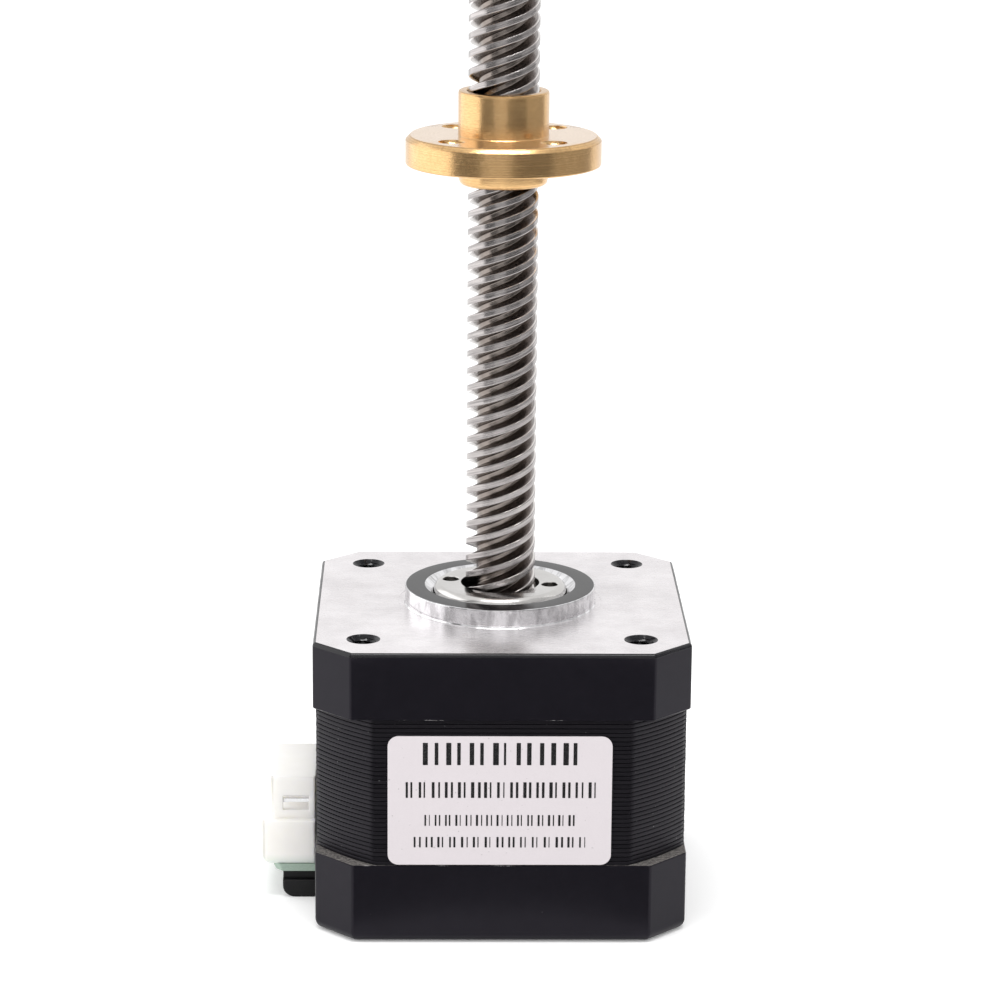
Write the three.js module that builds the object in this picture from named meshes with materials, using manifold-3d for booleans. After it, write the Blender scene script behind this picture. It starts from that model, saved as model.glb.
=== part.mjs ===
// A 42 mm hybrid stepper motor whose shaft is a four-start lead screw, with its brass flange nut.
// Millimetres, +Z up along the screw. The origin is the centre of the motor's rear face, which is the
// plane the motor stands on. The connector is on the -X side and the label on the -Y side.

import * as THREE from 'three';
import { mergeVertices } from 'three/addons/utils/BufferGeometryUtils.js';
import Module from 'manifold-3d';

const wasm = await Module();
wasm.setup();

// ---------- driving dimensions ----------

// Motor body, from the rear face up
const BODY_LENGTH = 34;
const FRONT_WIDTH = 42.3;
const REAR_WIDTH = 42.0;
const STACK_WIDTH = 41.8;
const STACK_CORNER_RADIUS = 25.25; // radius of the turned corners, about the motor axis
const CAP_CHAMFER = 4.3; // leg of the 45 degree corner chamfers
const REAR_CAP_HEIGHT = 9.2;
const FRONT_CAP_HEIGHT = 7.7;
const STACK_BOTTOM = REAR_CAP_HEIGHT;
const STACK_TOP = BODY_LENGTH - FRONT_CAP_HEIGHT;
const REAR_EDGE_ROUNDING = 1.2;
const FRONT_EDGE_BEVEL = 0.4;
const CAVITY_RADIUS = 18.6;
const REAR_WALL = 2.0;
const FRONT_WALL = 2.5;
const PILOT_RADIUS = 11;
const PILOT_HEIGHT = 2;
const PILOT_TOP = BODY_LENGTH + PILOT_HEIGHT;

// Screws and mounting holes on the 31 mm square
const HOLE_SPACING = 31;
const HOLE_RADIUS = 1.65;
const HOLE_MOUTH_RADIUS = 1.9;
const HOLE_MOUTH_DEPTH = 0.3;
const TIE_SCREW_RADIUS = 1.5;
const TIE_SCREW_END = 29.4; // leaves 4.6 mm of thread for the mounting screws
const HEAD_RADIUS = 2.75;
const HEAD_BOTTOM = 0.25;
const HEAD_TOP = 2.25;
const COUNTERBORE_RADIUS = 3.1;
const COUNTERBORE_DEPTH = 2.3;
const DRIVER_RECESS = { length: 3.0, width: 0.8, depth: 1.1 };

// Lead screw: trapezoidal thread, 8 mm diameter, 2 mm pitch, 4 starts, right hand
const STARTS = 4;
const PITCH = 2;
const LEAD = STARTS * PITCH;
const THREAD_MAJOR_RADIUS = 3.98;
const THREAD_MINOR_RADIUS = 2.75;
const THREAD_BOTTOM = 32.4;
const SCREW_TOP = BODY_LENGTH + 100;
const SCREW_END_CHAMFER = 0.8;
const THREAD_PHASE_HEIGHT = 1.1; // a crest crosses the +X direction at this height
const CREST_HALF_ANGLE = 16.5; // degrees of turn; 45 degrees of turn is 1 mm along the screw
const FLANK_ANGLE = 15; // degrees of turn taken by one flank
const SCREW_TWIST_STEP = 36; // degrees of turn between the layers of the faceted thread
const NUT_TWIST_STEP = 24;

// Shaft below the thread
const FRONT_JOURNAL_RADIUS = 4.0;
const REAR_JOURNAL_RADIUS = 2.5;
const ROTOR_SEAT_RADIUS = 3.5;
const SHAFT_BOTTOM = 2.0;

// Brass nut
const NUT_BOTTOM = 82.7;
const NUT_HUB_RADIUS = 5.1;
const NUT_FLANGE_RADIUS = 11;
const NUT_LOWER_BOSS = 2.3;
const NUT_LOWER_BOSS_RADIUS = 5;
const NUT_FLANGE_THICKNESS = 3.3;
const NUT_UPPER_HUB = 5;
const NUT_BEVEL = 0.45;
const NUT_HOLE_RADIUS = 1.5;
const NUT_HOLE_CIRCLE = 8;
const NUT_HOLE_TURN = 43; // degrees from +X to the first hole
const NUT_RADIAL_CLEARANCE = 0.17;
const NUT_FLANK_CLEARANCE = 5; // degrees of turn, 0.11 mm along the screw

// Ball bearings: 8 x 14 x 4 at the front and 5 x 13 x 4 at the rear
const FIT = 0.05; // radial gap between a race and its seat
const FRONT_BEARING = {
  bottom: 28.2, width: 4, boreRadius: 4.0, innerRaceRadius: 4.5,
  outerRaceRadius: 6.5, outsideRadius: 7.0, balls: 9, ballRadius: 0.9,
};
const REAR_BEARING = {
  bottom: 2.2, width: 4, boreRadius: 2.5, innerRaceRadius: 3.5,
  outerRaceRadius: 5.5, outsideRadius: 6.5, balls: 8, ballRadius: 0.9,
};
const CAGE_HALF_WIDTH = 0.45;
const SHIELD_THICKNESS = 0.2;
const WAVE_WASHER = { inner: 5.3, outer: 6.3, thickness: 0.2, wave: 0.12, waves: 3, bottom: 1.72 };

// Lock ring screwed into the pilot boss
const LOCK_RING = { outside: 7.65, bore: 4.5, bottom: 32.3, top: 36.25, edge: 0.45 };
const LOCK_RING_BORE = 7.75;
const LOCK_RING_CHAMFER_RADIUS = 8.65;
const LOCK_RING_CHAMFER_DEPTH = 0.7;
const SPANNER_HOLE = { radius: 0.95, circle: 5.8, depth: 2.0, angle: -11 };

// Stator poles and windings
const POLES = 8;
const STATOR_TEETH_PER_POLE = 6;
const ROTOR_TEETH = 50;
const TOOTH_PITCH = 360 / ROTOR_TEETH;
const STATOR_BORE = 11.3;
const TOOTH_DEPTH = 0.5;
const POLE_SHOE_BACK = 12.7;
const POLE_HALF_WIDTH = 2.3;
const POLE_SHOE_HALF_ANGLE = 19;
const BACK_IRON_RADIUS = 17.3;
const INSULATOR = { plate: 0.8, wall: 3.2, ringInner: 17.5, ringOuter: 18.3, tabInner: 12.0, tabOuter: 12.8 };
const COIL = { inner: 13.2, outer: 16.4, halfOpening: 2.7, build: 1.5, endGap: 1.0, endBuild: 1.8 };

// Rotor
const ROTOR_RADIUS = 11.0;
const ROTOR_BOTTOM = 9.7;
const ROTOR_TOP = 25.8;
const MAGNET_HEIGHT = 1.7;
const MAGNET_RADIUS = 9.6;
const ROTOR_BORE = ROTOR_SEAT_RADIUS + FIT;

// Connector on the -X side
const BOARD = { outer: -26.3, inner: -17.2, halfLength: 6.9, bottom: 3.2, top: 4.1 };
const HEADER_INNER_FACE = -21.3;
const HEADER_BASE = { outer: -27.45, halfLength: 7.0, bottom: 4.12, top: 9.35 };
const HEADER_SHROUD = { outer: -26.5, halfLength: 6.1, top: 14.45, wall: 0.75, back: 1.1, floor: 9.75 };
const HEADER_WINDOW = { centre: -23.55, width: 3.0, bottom: 10.4, top: 12.15 };
const PIN = { count: 6, pitch: 2.0, halfWidth: 0.25, tailX: -21.6, bottom: 2.6, height: 11.3, tip: -25.6 };
const PIN_CLEARANCE = 0.08;
const BOARD_HOLE_HALF_WIDTH = 0.4;
const SUPPORT = { outer: -25.1, inner: -18.9, halfLength: 6.95, top: 3.15, step: 2.1, setback: 0.6, rounding: 1.3 };
const SUPPORT_POCKET_HALF_WIDTH = 0.7;
const NOTCH = { halfLength: 7.1, step: 3.0, top: 4.4, inner: -18.75, boardInner: -17.0 };

// Label
const LABEL = { width: 24.95, height: 15.1, thickness: 0.12, radius: 1.2, x: -0.25, bottom: 9.35 };

// Facet counts
const FINE = 40;
const MEDIUM = 30;
const COARSE = 20;
const SMALL = 12;
const DEGREE = Math.PI / 180;

// ---------- geometry helpers ----------

// Merge a geometry's shared vertices, drop its empty triangles and turn its faces outwards.
function closed(geometry) {
  geometry.deleteAttribute('normal');
  geometry.deleteAttribute('uv');
  const merged = mergeVertices(geometry);
  const position = merged.getAttribute('position');
  const index = merged.getIndex().array;
  const triangles = [];
  const a = new THREE.Vector3();
  const b = new THREE.Vector3();
  const c = new THREE.Vector3();
  let volume = 0;
  for (let i = 0; i < index.length; i += 3) {
    const [p, q, r] = [index[i], index[i + 1], index[i + 2]];
    if (p === q || q === r || r === p) continue;
    triangles.push([p, q, r]);
    a.fromBufferAttribute(position, p);
    b.fromBufferAttribute(position, q);
    c.fromBufferAttribute(position, r);
    volume += a.dot(b.cross(c));
  }
  const facing = volume < 0 ? triangles.map(([p, q, r]) => [p, r, q]) : triangles;
  merged.setIndex(facing.flat());
  return merged;
}

function toSolid(geometry) {
  const tidy = closed(geometry);
  const vertProperties = new Float32Array(tidy.getAttribute('position').array);
  const triVerts = new Uint32Array(tidy.getIndex().array);
  return new wasm.Manifold(new wasm.Mesh({ numProp: 3, vertProperties, triVerts }));
}

function toGeometry(solid) {
  const mesh = solid.getMesh();
  const geometry = new THREE.BufferGeometry();
  geometry.setAttribute('position', new THREE.BufferAttribute(mesh.vertProperties, 3));
  geometry.setIndex(new THREE.BufferAttribute(mesh.triVerts, 1));
  geometry.computeVertexNormals();
  return geometry;
}

function subtractAll(solid, tools) {
  return tools.reduce((result, tool) => result.subtract(tool), solid);
}

function addAll(solids) {
  return solids.reduce((result, solid) => result.add(solid));
}

// A profile of [radius, height] points turned about Z. It starts and ends on the axis or closes on itself.
function turned(profile, segments) {
  const points = profile.map(([radius, height]) => new THREE.Vector2(radius, height));
  return new THREE.LatheGeometry(points, segments).rotateX(Math.PI / 2);
}

function rod(radius, bottom, top, segments) {
  return turned([[0, bottom], [radius, bottom], [radius, top], [0, top]], segments);
}

function ring(inner, outer, bottom, top, segments) {
  return turned([[inner, bottom], [outer, bottom], [outer, top], [inner, top], [inner, bottom]], segments);
}

// A flat outline pushed up from bottom to top.
function prism(shape, bottom, top) {
  const options = { depth: top - bottom, bevelEnabled: false, curveSegments: 8 };
  return new THREE.ExtrudeGeometry(shape, options).translate(0, 0, bottom);
}

function block(x0, x1, y0, y1, z0, z1) {
  const geometry = new THREE.BoxGeometry(x1 - x0, y1 - y0, z1 - z0);
  return geometry.translate((x0 + x1) / 2, (y0 + y1) / 2, (z0 + z1) / 2);
}

function polar(radius, degrees) {
  return new THREE.Vector2(radius * Math.cos(degrees * DEGREE), radius * Math.sin(degrees * DEGREE));
}

// The four corners of the 31 mm square, as [x, y].
function holeCentres() {
  const half = HOLE_SPACING / 2;
  return [[half, half], [-half, half], [-half, -half], [half, -half]];
}

// ---------- end caps and stator stack ----------

// A square with its corners chamfered at 45 degrees.
function chamferedSquare(width, chamfer) {
  const half = width / 2;
  const short = half - chamfer;
  return new THREE.Shape([
    new THREE.Vector2(half, short), new THREE.Vector2(short, half),
    new THREE.Vector2(-short, half), new THREE.Vector2(-half, short),
    new THREE.Vector2(-half, -short), new THREE.Vector2(-short, -half),
    new THREE.Vector2(short, -half), new THREE.Vector2(half, -short),
  ]);
}

// The cap's outside, with a softened edge all round at its free end. The other end is cut square.
function capBlank(width, height, bevel, segments) {
  const options = {
    depth: 2 * height, bevelEnabled: true, bevelThickness: bevel, bevelSize: bevel,
    bevelOffset: -bevel, bevelSegments: segments,
  };
  const outside = new THREE.ExtrudeGeometry(chamferedSquare(width, CAP_CHAMFER), options);
  const blank = toSolid(outside.translate(0, 0, bevel));
  return blank.subtract(toSolid(block(-width, width, -width, width, height, 3 * height)));
}

function frontEndCap() {
  const blank = capBlank(FRONT_WIDTH, FRONT_CAP_HEIGHT, FRONT_EDGE_BEVEL, 2);
  const upright = blank.rotate([180, 0, 0]).translate([0, 0, BODY_LENGTH]);
  const pilot = toSolid(rod(PILOT_RADIUS, BODY_LENGTH - 1, PILOT_TOP, FINE));
  const seat = FRONT_BEARING.outsideRadius + FIT;
  const hubBottom = FRONT_BEARING.bottom - 0.8;
  const wallBottom = BODY_LENGTH - FRONT_WALL;
  const hubRadius = seat + 2.75;
  const cavity = toSolid(turned([
    [0, STACK_TOP - 1], [CAVITY_RADIUS, STACK_TOP - 1], [CAVITY_RADIUS, wallBottom],
    [hubRadius, wallBottom], [hubRadius, hubBottom], [0, hubBottom],
  ], FINE));
  const bore = toSolid(turned([
    [0, hubBottom - 1], [seat - 1, hubBottom - 1], [seat - 1, FRONT_BEARING.bottom - FIT],
    [seat, FRONT_BEARING.bottom - FIT], [seat, FRONT_BEARING.bottom + FRONT_BEARING.width],
    [LOCK_RING_BORE, FRONT_BEARING.bottom + FRONT_BEARING.width],
    [LOCK_RING_BORE, PILOT_TOP - LOCK_RING_CHAMFER_DEPTH],
    [LOCK_RING_CHAMFER_RADIUS, PILOT_TOP], [LOCK_RING_CHAMFER_RADIUS, PILOT_TOP + 1], [0, PILOT_TOP + 1],
  ], FINE));
  const holes = holeCentres().map(([x, y]) => toSolid(turned([
    [0, STACK_TOP - 1], [HOLE_RADIUS, STACK_TOP - 1], [HOLE_RADIUS, BODY_LENGTH - HOLE_MOUTH_DEPTH],
    [HOLE_MOUTH_RADIUS, BODY_LENGTH], [HOLE_MOUTH_RADIUS, BODY_LENGTH + 1], [0, BODY_LENGTH + 1],
  ], SMALL).translate(x, y, 0)));
  return toGeometry(subtractAll(upright.add(pilot), [cavity, bore, ...holes]));
}

function rearEndCap() {
  const blank = capBlank(REAR_WIDTH, REAR_CAP_HEIGHT, REAR_EDGE_ROUNDING, 3);
  const seat = REAR_BEARING.outsideRadius + FIT;
  const seatTop = REAR_BEARING.bottom + REAR_BEARING.width + 0.2;
  const seatFloor = WAVE_WASHER.bottom - 0.22;
  const cavity = toSolid(turned([
    [0, seatFloor], [seat, seatFloor], [seat, seatTop], [seat + 2.5, seatTop], [seat + 2.5, REAR_WALL],
    [CAVITY_RADIUS, REAR_WALL], [CAVITY_RADIUS, REAR_CAP_HEIGHT + 1], [0, REAR_CAP_HEIGHT + 1],
  ], FINE));
  const screwWays = holeCentres().map(([x, y]) => toSolid(turned([
    [0, -1], [COUNTERBORE_RADIUS, -1], [COUNTERBORE_RADIUS, COUNTERBORE_DEPTH],
    [HOLE_RADIUS, COUNTERBORE_DEPTH], [HOLE_RADIUS, REAR_CAP_HEIGHT + 1], [0, REAR_CAP_HEIGHT + 1],
  ], SMALL).translate(x, y, 0)));
  const { halfLength, step, top, inner, boardInner } = NOTCH;
  const notch = toSolid(block(-REAR_WIDTH, inner, -halfLength, halfLength, -1, top));
  const boardWay = toSolid(block(-REAR_WIDTH, boardInner, -halfLength, halfLength, step, top));
  return toGeometry(subtractAll(blank, [cavity, notch, boardWay, ...screwWays]));
}

// Outline of one lamination: a square whose corners are turned to a circle about the axis.
function laminationOutline() {
  const half = STACK_WIDTH / 2;
  const start = Math.acos(half / STACK_CORNER_RADIUS);
  const outline = new THREE.Shape();
  for (let quarter = 0; quarter < 4; quarter += 1) {
    const turn = quarter * Math.PI / 2;
    outline.absarc(0, 0, STACK_CORNER_RADIUS, turn + start, turn + Math.PI / 2 - start, false);
  }
  outline.closePath();
  return outline;
}

// The bore of one lamination: slots for the coils between toothed pole shoes.
function laminationBore() {
  const points = [];
  for (let pole = 0; pole < POLES; pole += 1) {
    const centre = pole * 360 / POLES;
    const neckInner = Math.asin(POLE_HALF_WIDTH / POLE_SHOE_BACK) / DEGREE;
    const neckOuter = Math.asin(POLE_HALF_WIDTH / BACK_IRON_RADIUS) / DEGREE;
    const side = [
      polar(BACK_IRON_RADIUS, centre - neckOuter), polar(POLE_SHOE_BACK, centre - neckInner),
      polar(POLE_SHOE_BACK, centre - POLE_SHOE_HALF_ANGLE),
      polar(STATOR_BORE + TOOTH_DEPTH, centre - POLE_SHOE_HALF_ANGLE - 1),
    ];
    points.push(...side);
    for (let tooth = 0; tooth < STATOR_TEETH_PER_POLE; tooth += 1) {
      const middle = centre + (tooth - (STATOR_TEETH_PER_POLE - 1) / 2) * TOOTH_PITCH;
      points.push(polar(STATOR_BORE + TOOTH_DEPTH, middle - TOOTH_PITCH / 4));
      points.push(polar(STATOR_BORE, middle - TOOTH_PITCH / 4));
      points.push(polar(STATOR_BORE, middle + TOOTH_PITCH / 4));
      points.push(polar(STATOR_BORE + TOOTH_DEPTH, middle + TOOTH_PITCH / 4));
    }
    points.push(polar(STATOR_BORE + TOOTH_DEPTH, centre + POLE_SHOE_HALF_ANGLE + 1));
    points.push(polar(POLE_SHOE_BACK, centre + POLE_SHOE_HALF_ANGLE));
    points.push(polar(POLE_SHOE_BACK, centre + neckInner));
    points.push(polar(BACK_IRON_RADIUS, centre + neckOuter));
    points.push(polar(BACK_IRON_RADIUS, centre + 180 / POLES));
  }
  return new THREE.Path(points);
}

function statorStack() {
  const outline = laminationOutline();
  outline.holes.push(laminationBore());
  holeCentres().forEach(([x, y]) => {
    const circle = Array.from({ length: SMALL }, (_, i) => polar(HOLE_RADIUS, i * 360 / SMALL));
    outline.holes.push(new THREE.Path(circle.map((point) => point.add(new THREE.Vector2(x, y)))));
  });
  return closed(prism(outline, STACK_BOTTOM, STACK_TOP));
}

// A bobbin end: a plate over the pole necks, a ring wall outside the coils and a tab on each pole shoe.
// It is made with its plate at the bottom and turned over for the rear.
function insulator() {
  const { plate, wall, ringInner, ringOuter, tabInner, tabOuter } = INSULATOR;
  const parts = [toSolid(ring(ringInner, ringOuter, 0, wall, MEDIUM))];
  for (let pole = 0; pole < POLES; pole += 1) {
    const turn = pole * 2 * Math.PI / POLES;
    const neck = block(tabInner + 0.1, ringInner + 0.3, -POLE_HALF_WIDTH, POLE_HALF_WIDTH, 0, plate);
    const tab = block(tabInner, tabOuter, -3.4, 3.4, 0, wall);
    parts.push(toSolid(neck.rotateZ(turn)));
    parts.push(toSolid(tab.rotateZ(turn)));
  }
  return toGeometry(addAll(parts));
}

// One winding: a block with rounded corners around a pole neck, along +X.
function coil() {
  const { inner, outer, halfOpening, build, endGap, endBuild } = COIL;
  const halfHeight = (STACK_TOP - STACK_BOTTOM) / 2 + endGap;
  const across = halfOpening + build;
  const along = halfHeight + endBuild;
  const corner = build;
  const outline = new THREE.Shape([
    new THREE.Vector2(across, along - corner), new THREE.Vector2(across - corner, along),
    new THREE.Vector2(corner - across, along), new THREE.Vector2(-across, along - corner),
    new THREE.Vector2(-across, corner - along), new THREE.Vector2(corner - across, -along),
    new THREE.Vector2(across - corner, -along), new THREE.Vector2(across, corner - along),
  ]);
  outline.holes.push(new THREE.Path([
    new THREE.Vector2(halfOpening, halfHeight), new THREE.Vector2(-halfOpening, halfHeight),
    new THREE.Vector2(-halfOpening, -halfHeight), new THREE.Vector2(halfOpening, -halfHeight),
  ]));
  const upright = new THREE.Matrix4().makeBasis(
    new THREE.Vector3(0, 1, 0), new THREE.Vector3(0, 0, 1), new THREE.Vector3(1, 0, 0),
  );
  return closed(prism(outline, inner, outer).applyMatrix4(upright));
}

// ---------- lead screw, nut and rotor ----------

// One cross-section of the four-start thread. The screw's crests are one facet wide and the nut's
// grooves two, so that the screw turns freely in the nut.
function threadSection(crestRadius, rootRadius, crestHalf, rootHalf, crestFacets) {
  const points = [];
  for (let start = 0; start < STARTS; start += 1) {
    const centre = start * 360 / STARTS;
    for (let facet = 0; facet <= crestFacets; facet += 1) {
      points.push(polar(crestRadius, centre + crestHalf * (2 * facet / crestFacets - 1)));
    }
    points.push(polar(rootRadius, centre + 180 / STARTS - rootHalf));
    points.push(polar(rootRadius, centre + 180 / STARTS + rootHalf));
  }
  return new THREE.Shape(points);
}

// Push a section from bottom to top and twist it into a right-hand helix.
function twisted(section, bottom, top, twistStep) {
  const layer = LEAD * twistStep / 360;
  const steps = Math.ceil((top - bottom) / layer);
  const options = { depth: top - bottom, steps, bevelEnabled: false };
  const geometry = new THREE.ExtrudeGeometry(section, options).translate(0, 0, bottom);
  const position = geometry.getAttribute('position');
  for (let i = 0; i < position.count; i += 1) {
    const height = position.getZ(i);
    const turn = 2 * Math.PI * (height - THREAD_PHASE_HEIGHT) / LEAD;
    const x = position.getX(i);
    const y = position.getY(i);
    position.setX(i, x * Math.cos(turn) - y * Math.sin(turn));
    position.setY(i, x * Math.sin(turn) + y * Math.cos(turn));
  }
  return geometry;
}

function leadScrew() {
  const rootHalf = 180 / STARTS - CREST_HALF_ANGLE - FLANK_ANGLE;
  const section = threadSection(THREAD_MAJOR_RADIUS, THREAD_MINOR_RADIUS, CREST_HALF_ANGLE, rootHalf, 1);
  const thread = toSolid(twisted(section, THREAD_BOTTOM - 0.4, SCREW_TOP, SCREW_TWIST_STEP));
  const envelope = toSolid(turned([
    [0, THREAD_BOTTOM - 1], [THREAD_MAJOR_RADIUS + 1, THREAD_BOTTOM - 1],
    [THREAD_MAJOR_RADIUS + 1, SCREW_TOP - SCREW_END_CHAMFER - 1],
    [THREAD_MAJOR_RADIUS - SCREW_END_CHAMFER, SCREW_TOP], [0, SCREW_TOP],
  ], COARSE));
  const shoulder = REAR_BEARING.bottom + REAR_BEARING.width + FIT;
  const collarTop = FRONT_BEARING.bottom - FIT;
  const shaft = toSolid(turned([
    [0, SHAFT_BOTTOM], [REAR_JOURNAL_RADIUS - 0.3 - FIT, SHAFT_BOTTOM],
    [REAR_JOURNAL_RADIUS - FIT, SHAFT_BOTTOM + 0.3],
    [REAR_JOURNAL_RADIUS - FIT, shoulder], [ROTOR_SEAT_RADIUS - 0.3, shoulder],
    [ROTOR_SEAT_RADIUS - 0.3, ROTOR_BOTTOM - 0.5], [ROTOR_SEAT_RADIUS, ROTOR_BOTTOM - 0.5],
    [ROTOR_SEAT_RADIUS, collarTop - 1.2], [FRONT_JOURNAL_RADIUS + 0.4, collarTop - 1.2],
    [FRONT_JOURNAL_RADIUS + 0.4, collarTop], [FRONT_JOURNAL_RADIUS, collarTop],
    [FRONT_JOURNAL_RADIUS, THREAD_BOTTOM], [0, THREAD_BOTTOM],
  ], COARSE));
  return toGeometry(thread.intersect(envelope).add(shaft));
}

function leadNut() {
  const bossRadius = NUT_LOWER_BOSS_RADIUS;
  const flangeBottom = NUT_BOTTOM + NUT_LOWER_BOSS;
  const flangeTop = flangeBottom + NUT_FLANGE_THICKNESS;
  const top = flangeTop + NUT_UPPER_HUB;
  const outside = toSolid(turned([
    [0, NUT_BOTTOM], [bossRadius - NUT_BEVEL, NUT_BOTTOM], [bossRadius, NUT_BOTTOM + NUT_BEVEL],
    [bossRadius, flangeBottom], [NUT_FLANGE_RADIUS, flangeBottom],
    [NUT_FLANGE_RADIUS, flangeTop - NUT_BEVEL], [NUT_FLANGE_RADIUS - NUT_BEVEL, flangeTop],
    [NUT_HUB_RADIUS, flangeTop], [NUT_HUB_RADIUS, top], [0, top],
  ], FINE));
  const grooveRadius = THREAD_MAJOR_RADIUS + NUT_RADIAL_CLEARANCE;
  const landRadius = THREAD_MINOR_RADIUS + NUT_RADIAL_CLEARANCE;
  const landHalf = 180 / STARTS - CREST_HALF_ANGLE - FLANK_ANGLE - NUT_FLANK_CLEARANCE;
  const grooveHalf = CREST_HALF_ANGLE + NUT_FLANK_CLEARANCE;
  const section = threadSection(grooveRadius, landRadius, grooveHalf, landHalf, 2);
  const thread = toSolid(twisted(section, NUT_BOTTOM - 1, top + 1, NUT_TWIST_STEP));
  const holes = [0, 90, 180, 270].map((quarter) => {
    const [x, y] = polar(NUT_HOLE_CIRCLE, NUT_HOLE_TURN + quarter);
    return toSolid(rod(NUT_HOLE_RADIUS, flangeBottom - 1, flangeTop + 1, SMALL).translate(x, y, 0));
  });
  return toGeometry(subtractAll(outside, [thread, ...holes]));
}

// One rotor cup: a toothed ring. The two cups sit half a tooth pitch apart.
function rotorCup(bottom, top) {
  const points = [];
  for (let tooth = 0; tooth < ROTOR_TEETH; tooth += 1) {
    const middle = tooth * TOOTH_PITCH;
    points.push(polar(ROTOR_RADIUS - TOOTH_DEPTH, middle - TOOTH_PITCH / 4));
    points.push(polar(ROTOR_RADIUS, middle - TOOTH_PITCH / 4));
    points.push(polar(ROTOR_RADIUS, middle + TOOTH_PITCH / 4));
    points.push(polar(ROTOR_RADIUS - TOOTH_DEPTH, middle + TOOTH_PITCH / 4));
  }
  const outline = new THREE.Shape(points);
  const bore = Array.from({ length: COARSE }, (_, i) => polar(ROTOR_BORE, i * 360 / COARSE));
  outline.holes.push(new THREE.Path(bore));
  return closed(prism(outline, bottom, top));
}

// ---------- bearings and lock ring ----------

function innerRace({ bottom, width, boreRadius, innerRaceRadius }) {
  return closed(ring(boreRadius + FIT, innerRaceRadius, bottom, bottom + width, COARSE));
}

function outerRace({ bottom, width, outerRaceRadius, outsideRadius }) {
  return closed(ring(outerRaceRadius, outsideRadius, bottom, bottom + width, COARSE));
}

// The cage with its balls, which go round together at less than half the shaft's speed: a band whose
// six-sided section swells to a ball's radius at each ball and narrows to the cage between them.
function ballCage({ bottom, width, innerRaceRadius, outerRaceRadius, balls, ballRadius }) {
  const circle = (innerRaceRadius + outerRaceRadius) / 2;
  const section = Array.from({ length: 7 }, (_, i) => polar(1, i * 60));
  const geometry = turned(section.map(({ x, y }) => [circle + x, y]), balls * 4);
  const position = geometry.getAttribute('position');
  for (let i = 0; i < position.count; i += 1) {
    const [x, y] = [position.getX(i), position.getY(i)];
    const swell = (1 + Math.cos(balls * Math.atan2(y, x))) / 2;
    const size = CAGE_HALF_WIDTH + (ballRadius - CAGE_HALF_WIDTH) * swell;
    const radius = Math.hypot(x, y);
    const scale = (circle + (radius - circle) * size) / radius;
    position.setXYZ(i, x * scale, y * scale, bottom + width / 2 + position.getZ(i) * size);
  }
  return closed(geometry);
}

function shield({ innerRaceRadius, outerRaceRadius }) {
  return closed(ring(innerRaceRadius + 0.15, outerRaceRadius - 0.1, 0, SHIELD_THICKNESS, COARSE));
}

// A spring washer: a flat ring bent into three waves.
function waveWasher() {
  const { inner, outer, thickness, wave, waves } = WAVE_WASHER;
  const geometry = ring(inner, outer, 0, thickness, COARSE);
  const position = geometry.getAttribute('position');
  for (let i = 0; i < position.count; i += 1) {
    const angle = Math.atan2(position.getY(i), position.getX(i));
    position.setZ(i, position.getZ(i) + wave * Math.sin(waves * angle));
  }
  return closed(geometry);
}

function lockRing() {
  const { outside, bore, bottom, top, edge } = LOCK_RING;
  const body = toSolid(turned([
    [bore, bottom], [outside, bottom], [outside, top - edge], [outside - 0.3 * edge, top - 0.3 * edge],
    [outside - edge, top], [bore + 0.2, top], [bore, top - 0.2], [bore, bottom],
  ], FINE));
  const holes = [0, 180].map((turn) => {
    const place = polar(SPANNER_HOLE.circle, SPANNER_HOLE.angle + turn);
    const drill = rod(SPANNER_HOLE.radius, top - SPANNER_HOLE.depth, top + 1, SMALL);
    return toSolid(drill.translate(place.x, place.y, 0));
  });
  return toGeometry(subtractAll(body, holes));
}

// ---------- tie screws ----------

// A cheese-head screw along Z, with a cross recess in its head.
function tieScrew() {
  const body = toSolid(turned([
    [0, HEAD_BOTTOM], [HEAD_RADIUS - 0.3, HEAD_BOTTOM], [HEAD_RADIUS, HEAD_BOTTOM + 0.3],
    [HEAD_RADIUS, HEAD_TOP], [TIE_SCREW_RADIUS, HEAD_TOP],
    [TIE_SCREW_RADIUS, TIE_SCREW_END - 0.5], [TIE_SCREW_RADIUS - 0.5, TIE_SCREW_END], [0, TIE_SCREW_END],
  ], SMALL));
  const { length, width, depth } = DRIVER_RECESS;
  const [reach, half] = [length / 2, width / 2];
  const recessTop = HEAD_BOTTOM + depth;
  const slot = toSolid(block(-reach, reach, -half, half, HEAD_BOTTOM - 1, recessTop));
  const crossSlot = toSolid(block(-half, half, -reach, reach, HEAD_BOTTOM - 1, recessTop));
  return toGeometry(subtractAll(body, [slot, crossSlot]));
}

// ---------- connector ----------

function pinPlaces() {
  return Array.from({ length: PIN.count }, (_, i) => (i - (PIN.count - 1) / 2) * PIN.pitch);
}

function connectorBoard() {
  const { outer, inner, halfLength, bottom, top } = BOARD;
  const board = toSolid(block(outer, inner, -halfLength, halfLength, bottom, top));
  const half = BOARD_HOLE_HALF_WIDTH;
  const [low, high] = [PIN.tailX - half, PIN.tailX + half];
  const holes = pinPlaces().map((y) => toSolid(block(low, high, y - half, y + half, bottom - 1, top + 1)));
  return toGeometry(subtractAll(board, holes));
}

// The ways of one pin in the header: a groove down its back and a hole through the shroud's back wall.
function pinWays(y) {
  const half = PIN.halfWidth + PIN_CLEARANCE;
  const [near, far] = [y - half, y + half];
  const back = PIN.tailX - half;
  return [
    toSolid(block(back, HEADER_INNER_FACE + 1, near, far, HEADER_BASE.bottom - 1, PIN.height + half)),
    toSolid(block(PIN.tip, back + half, near, far, PIN.height - half, PIN.height + half)),
  ];
}

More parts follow.
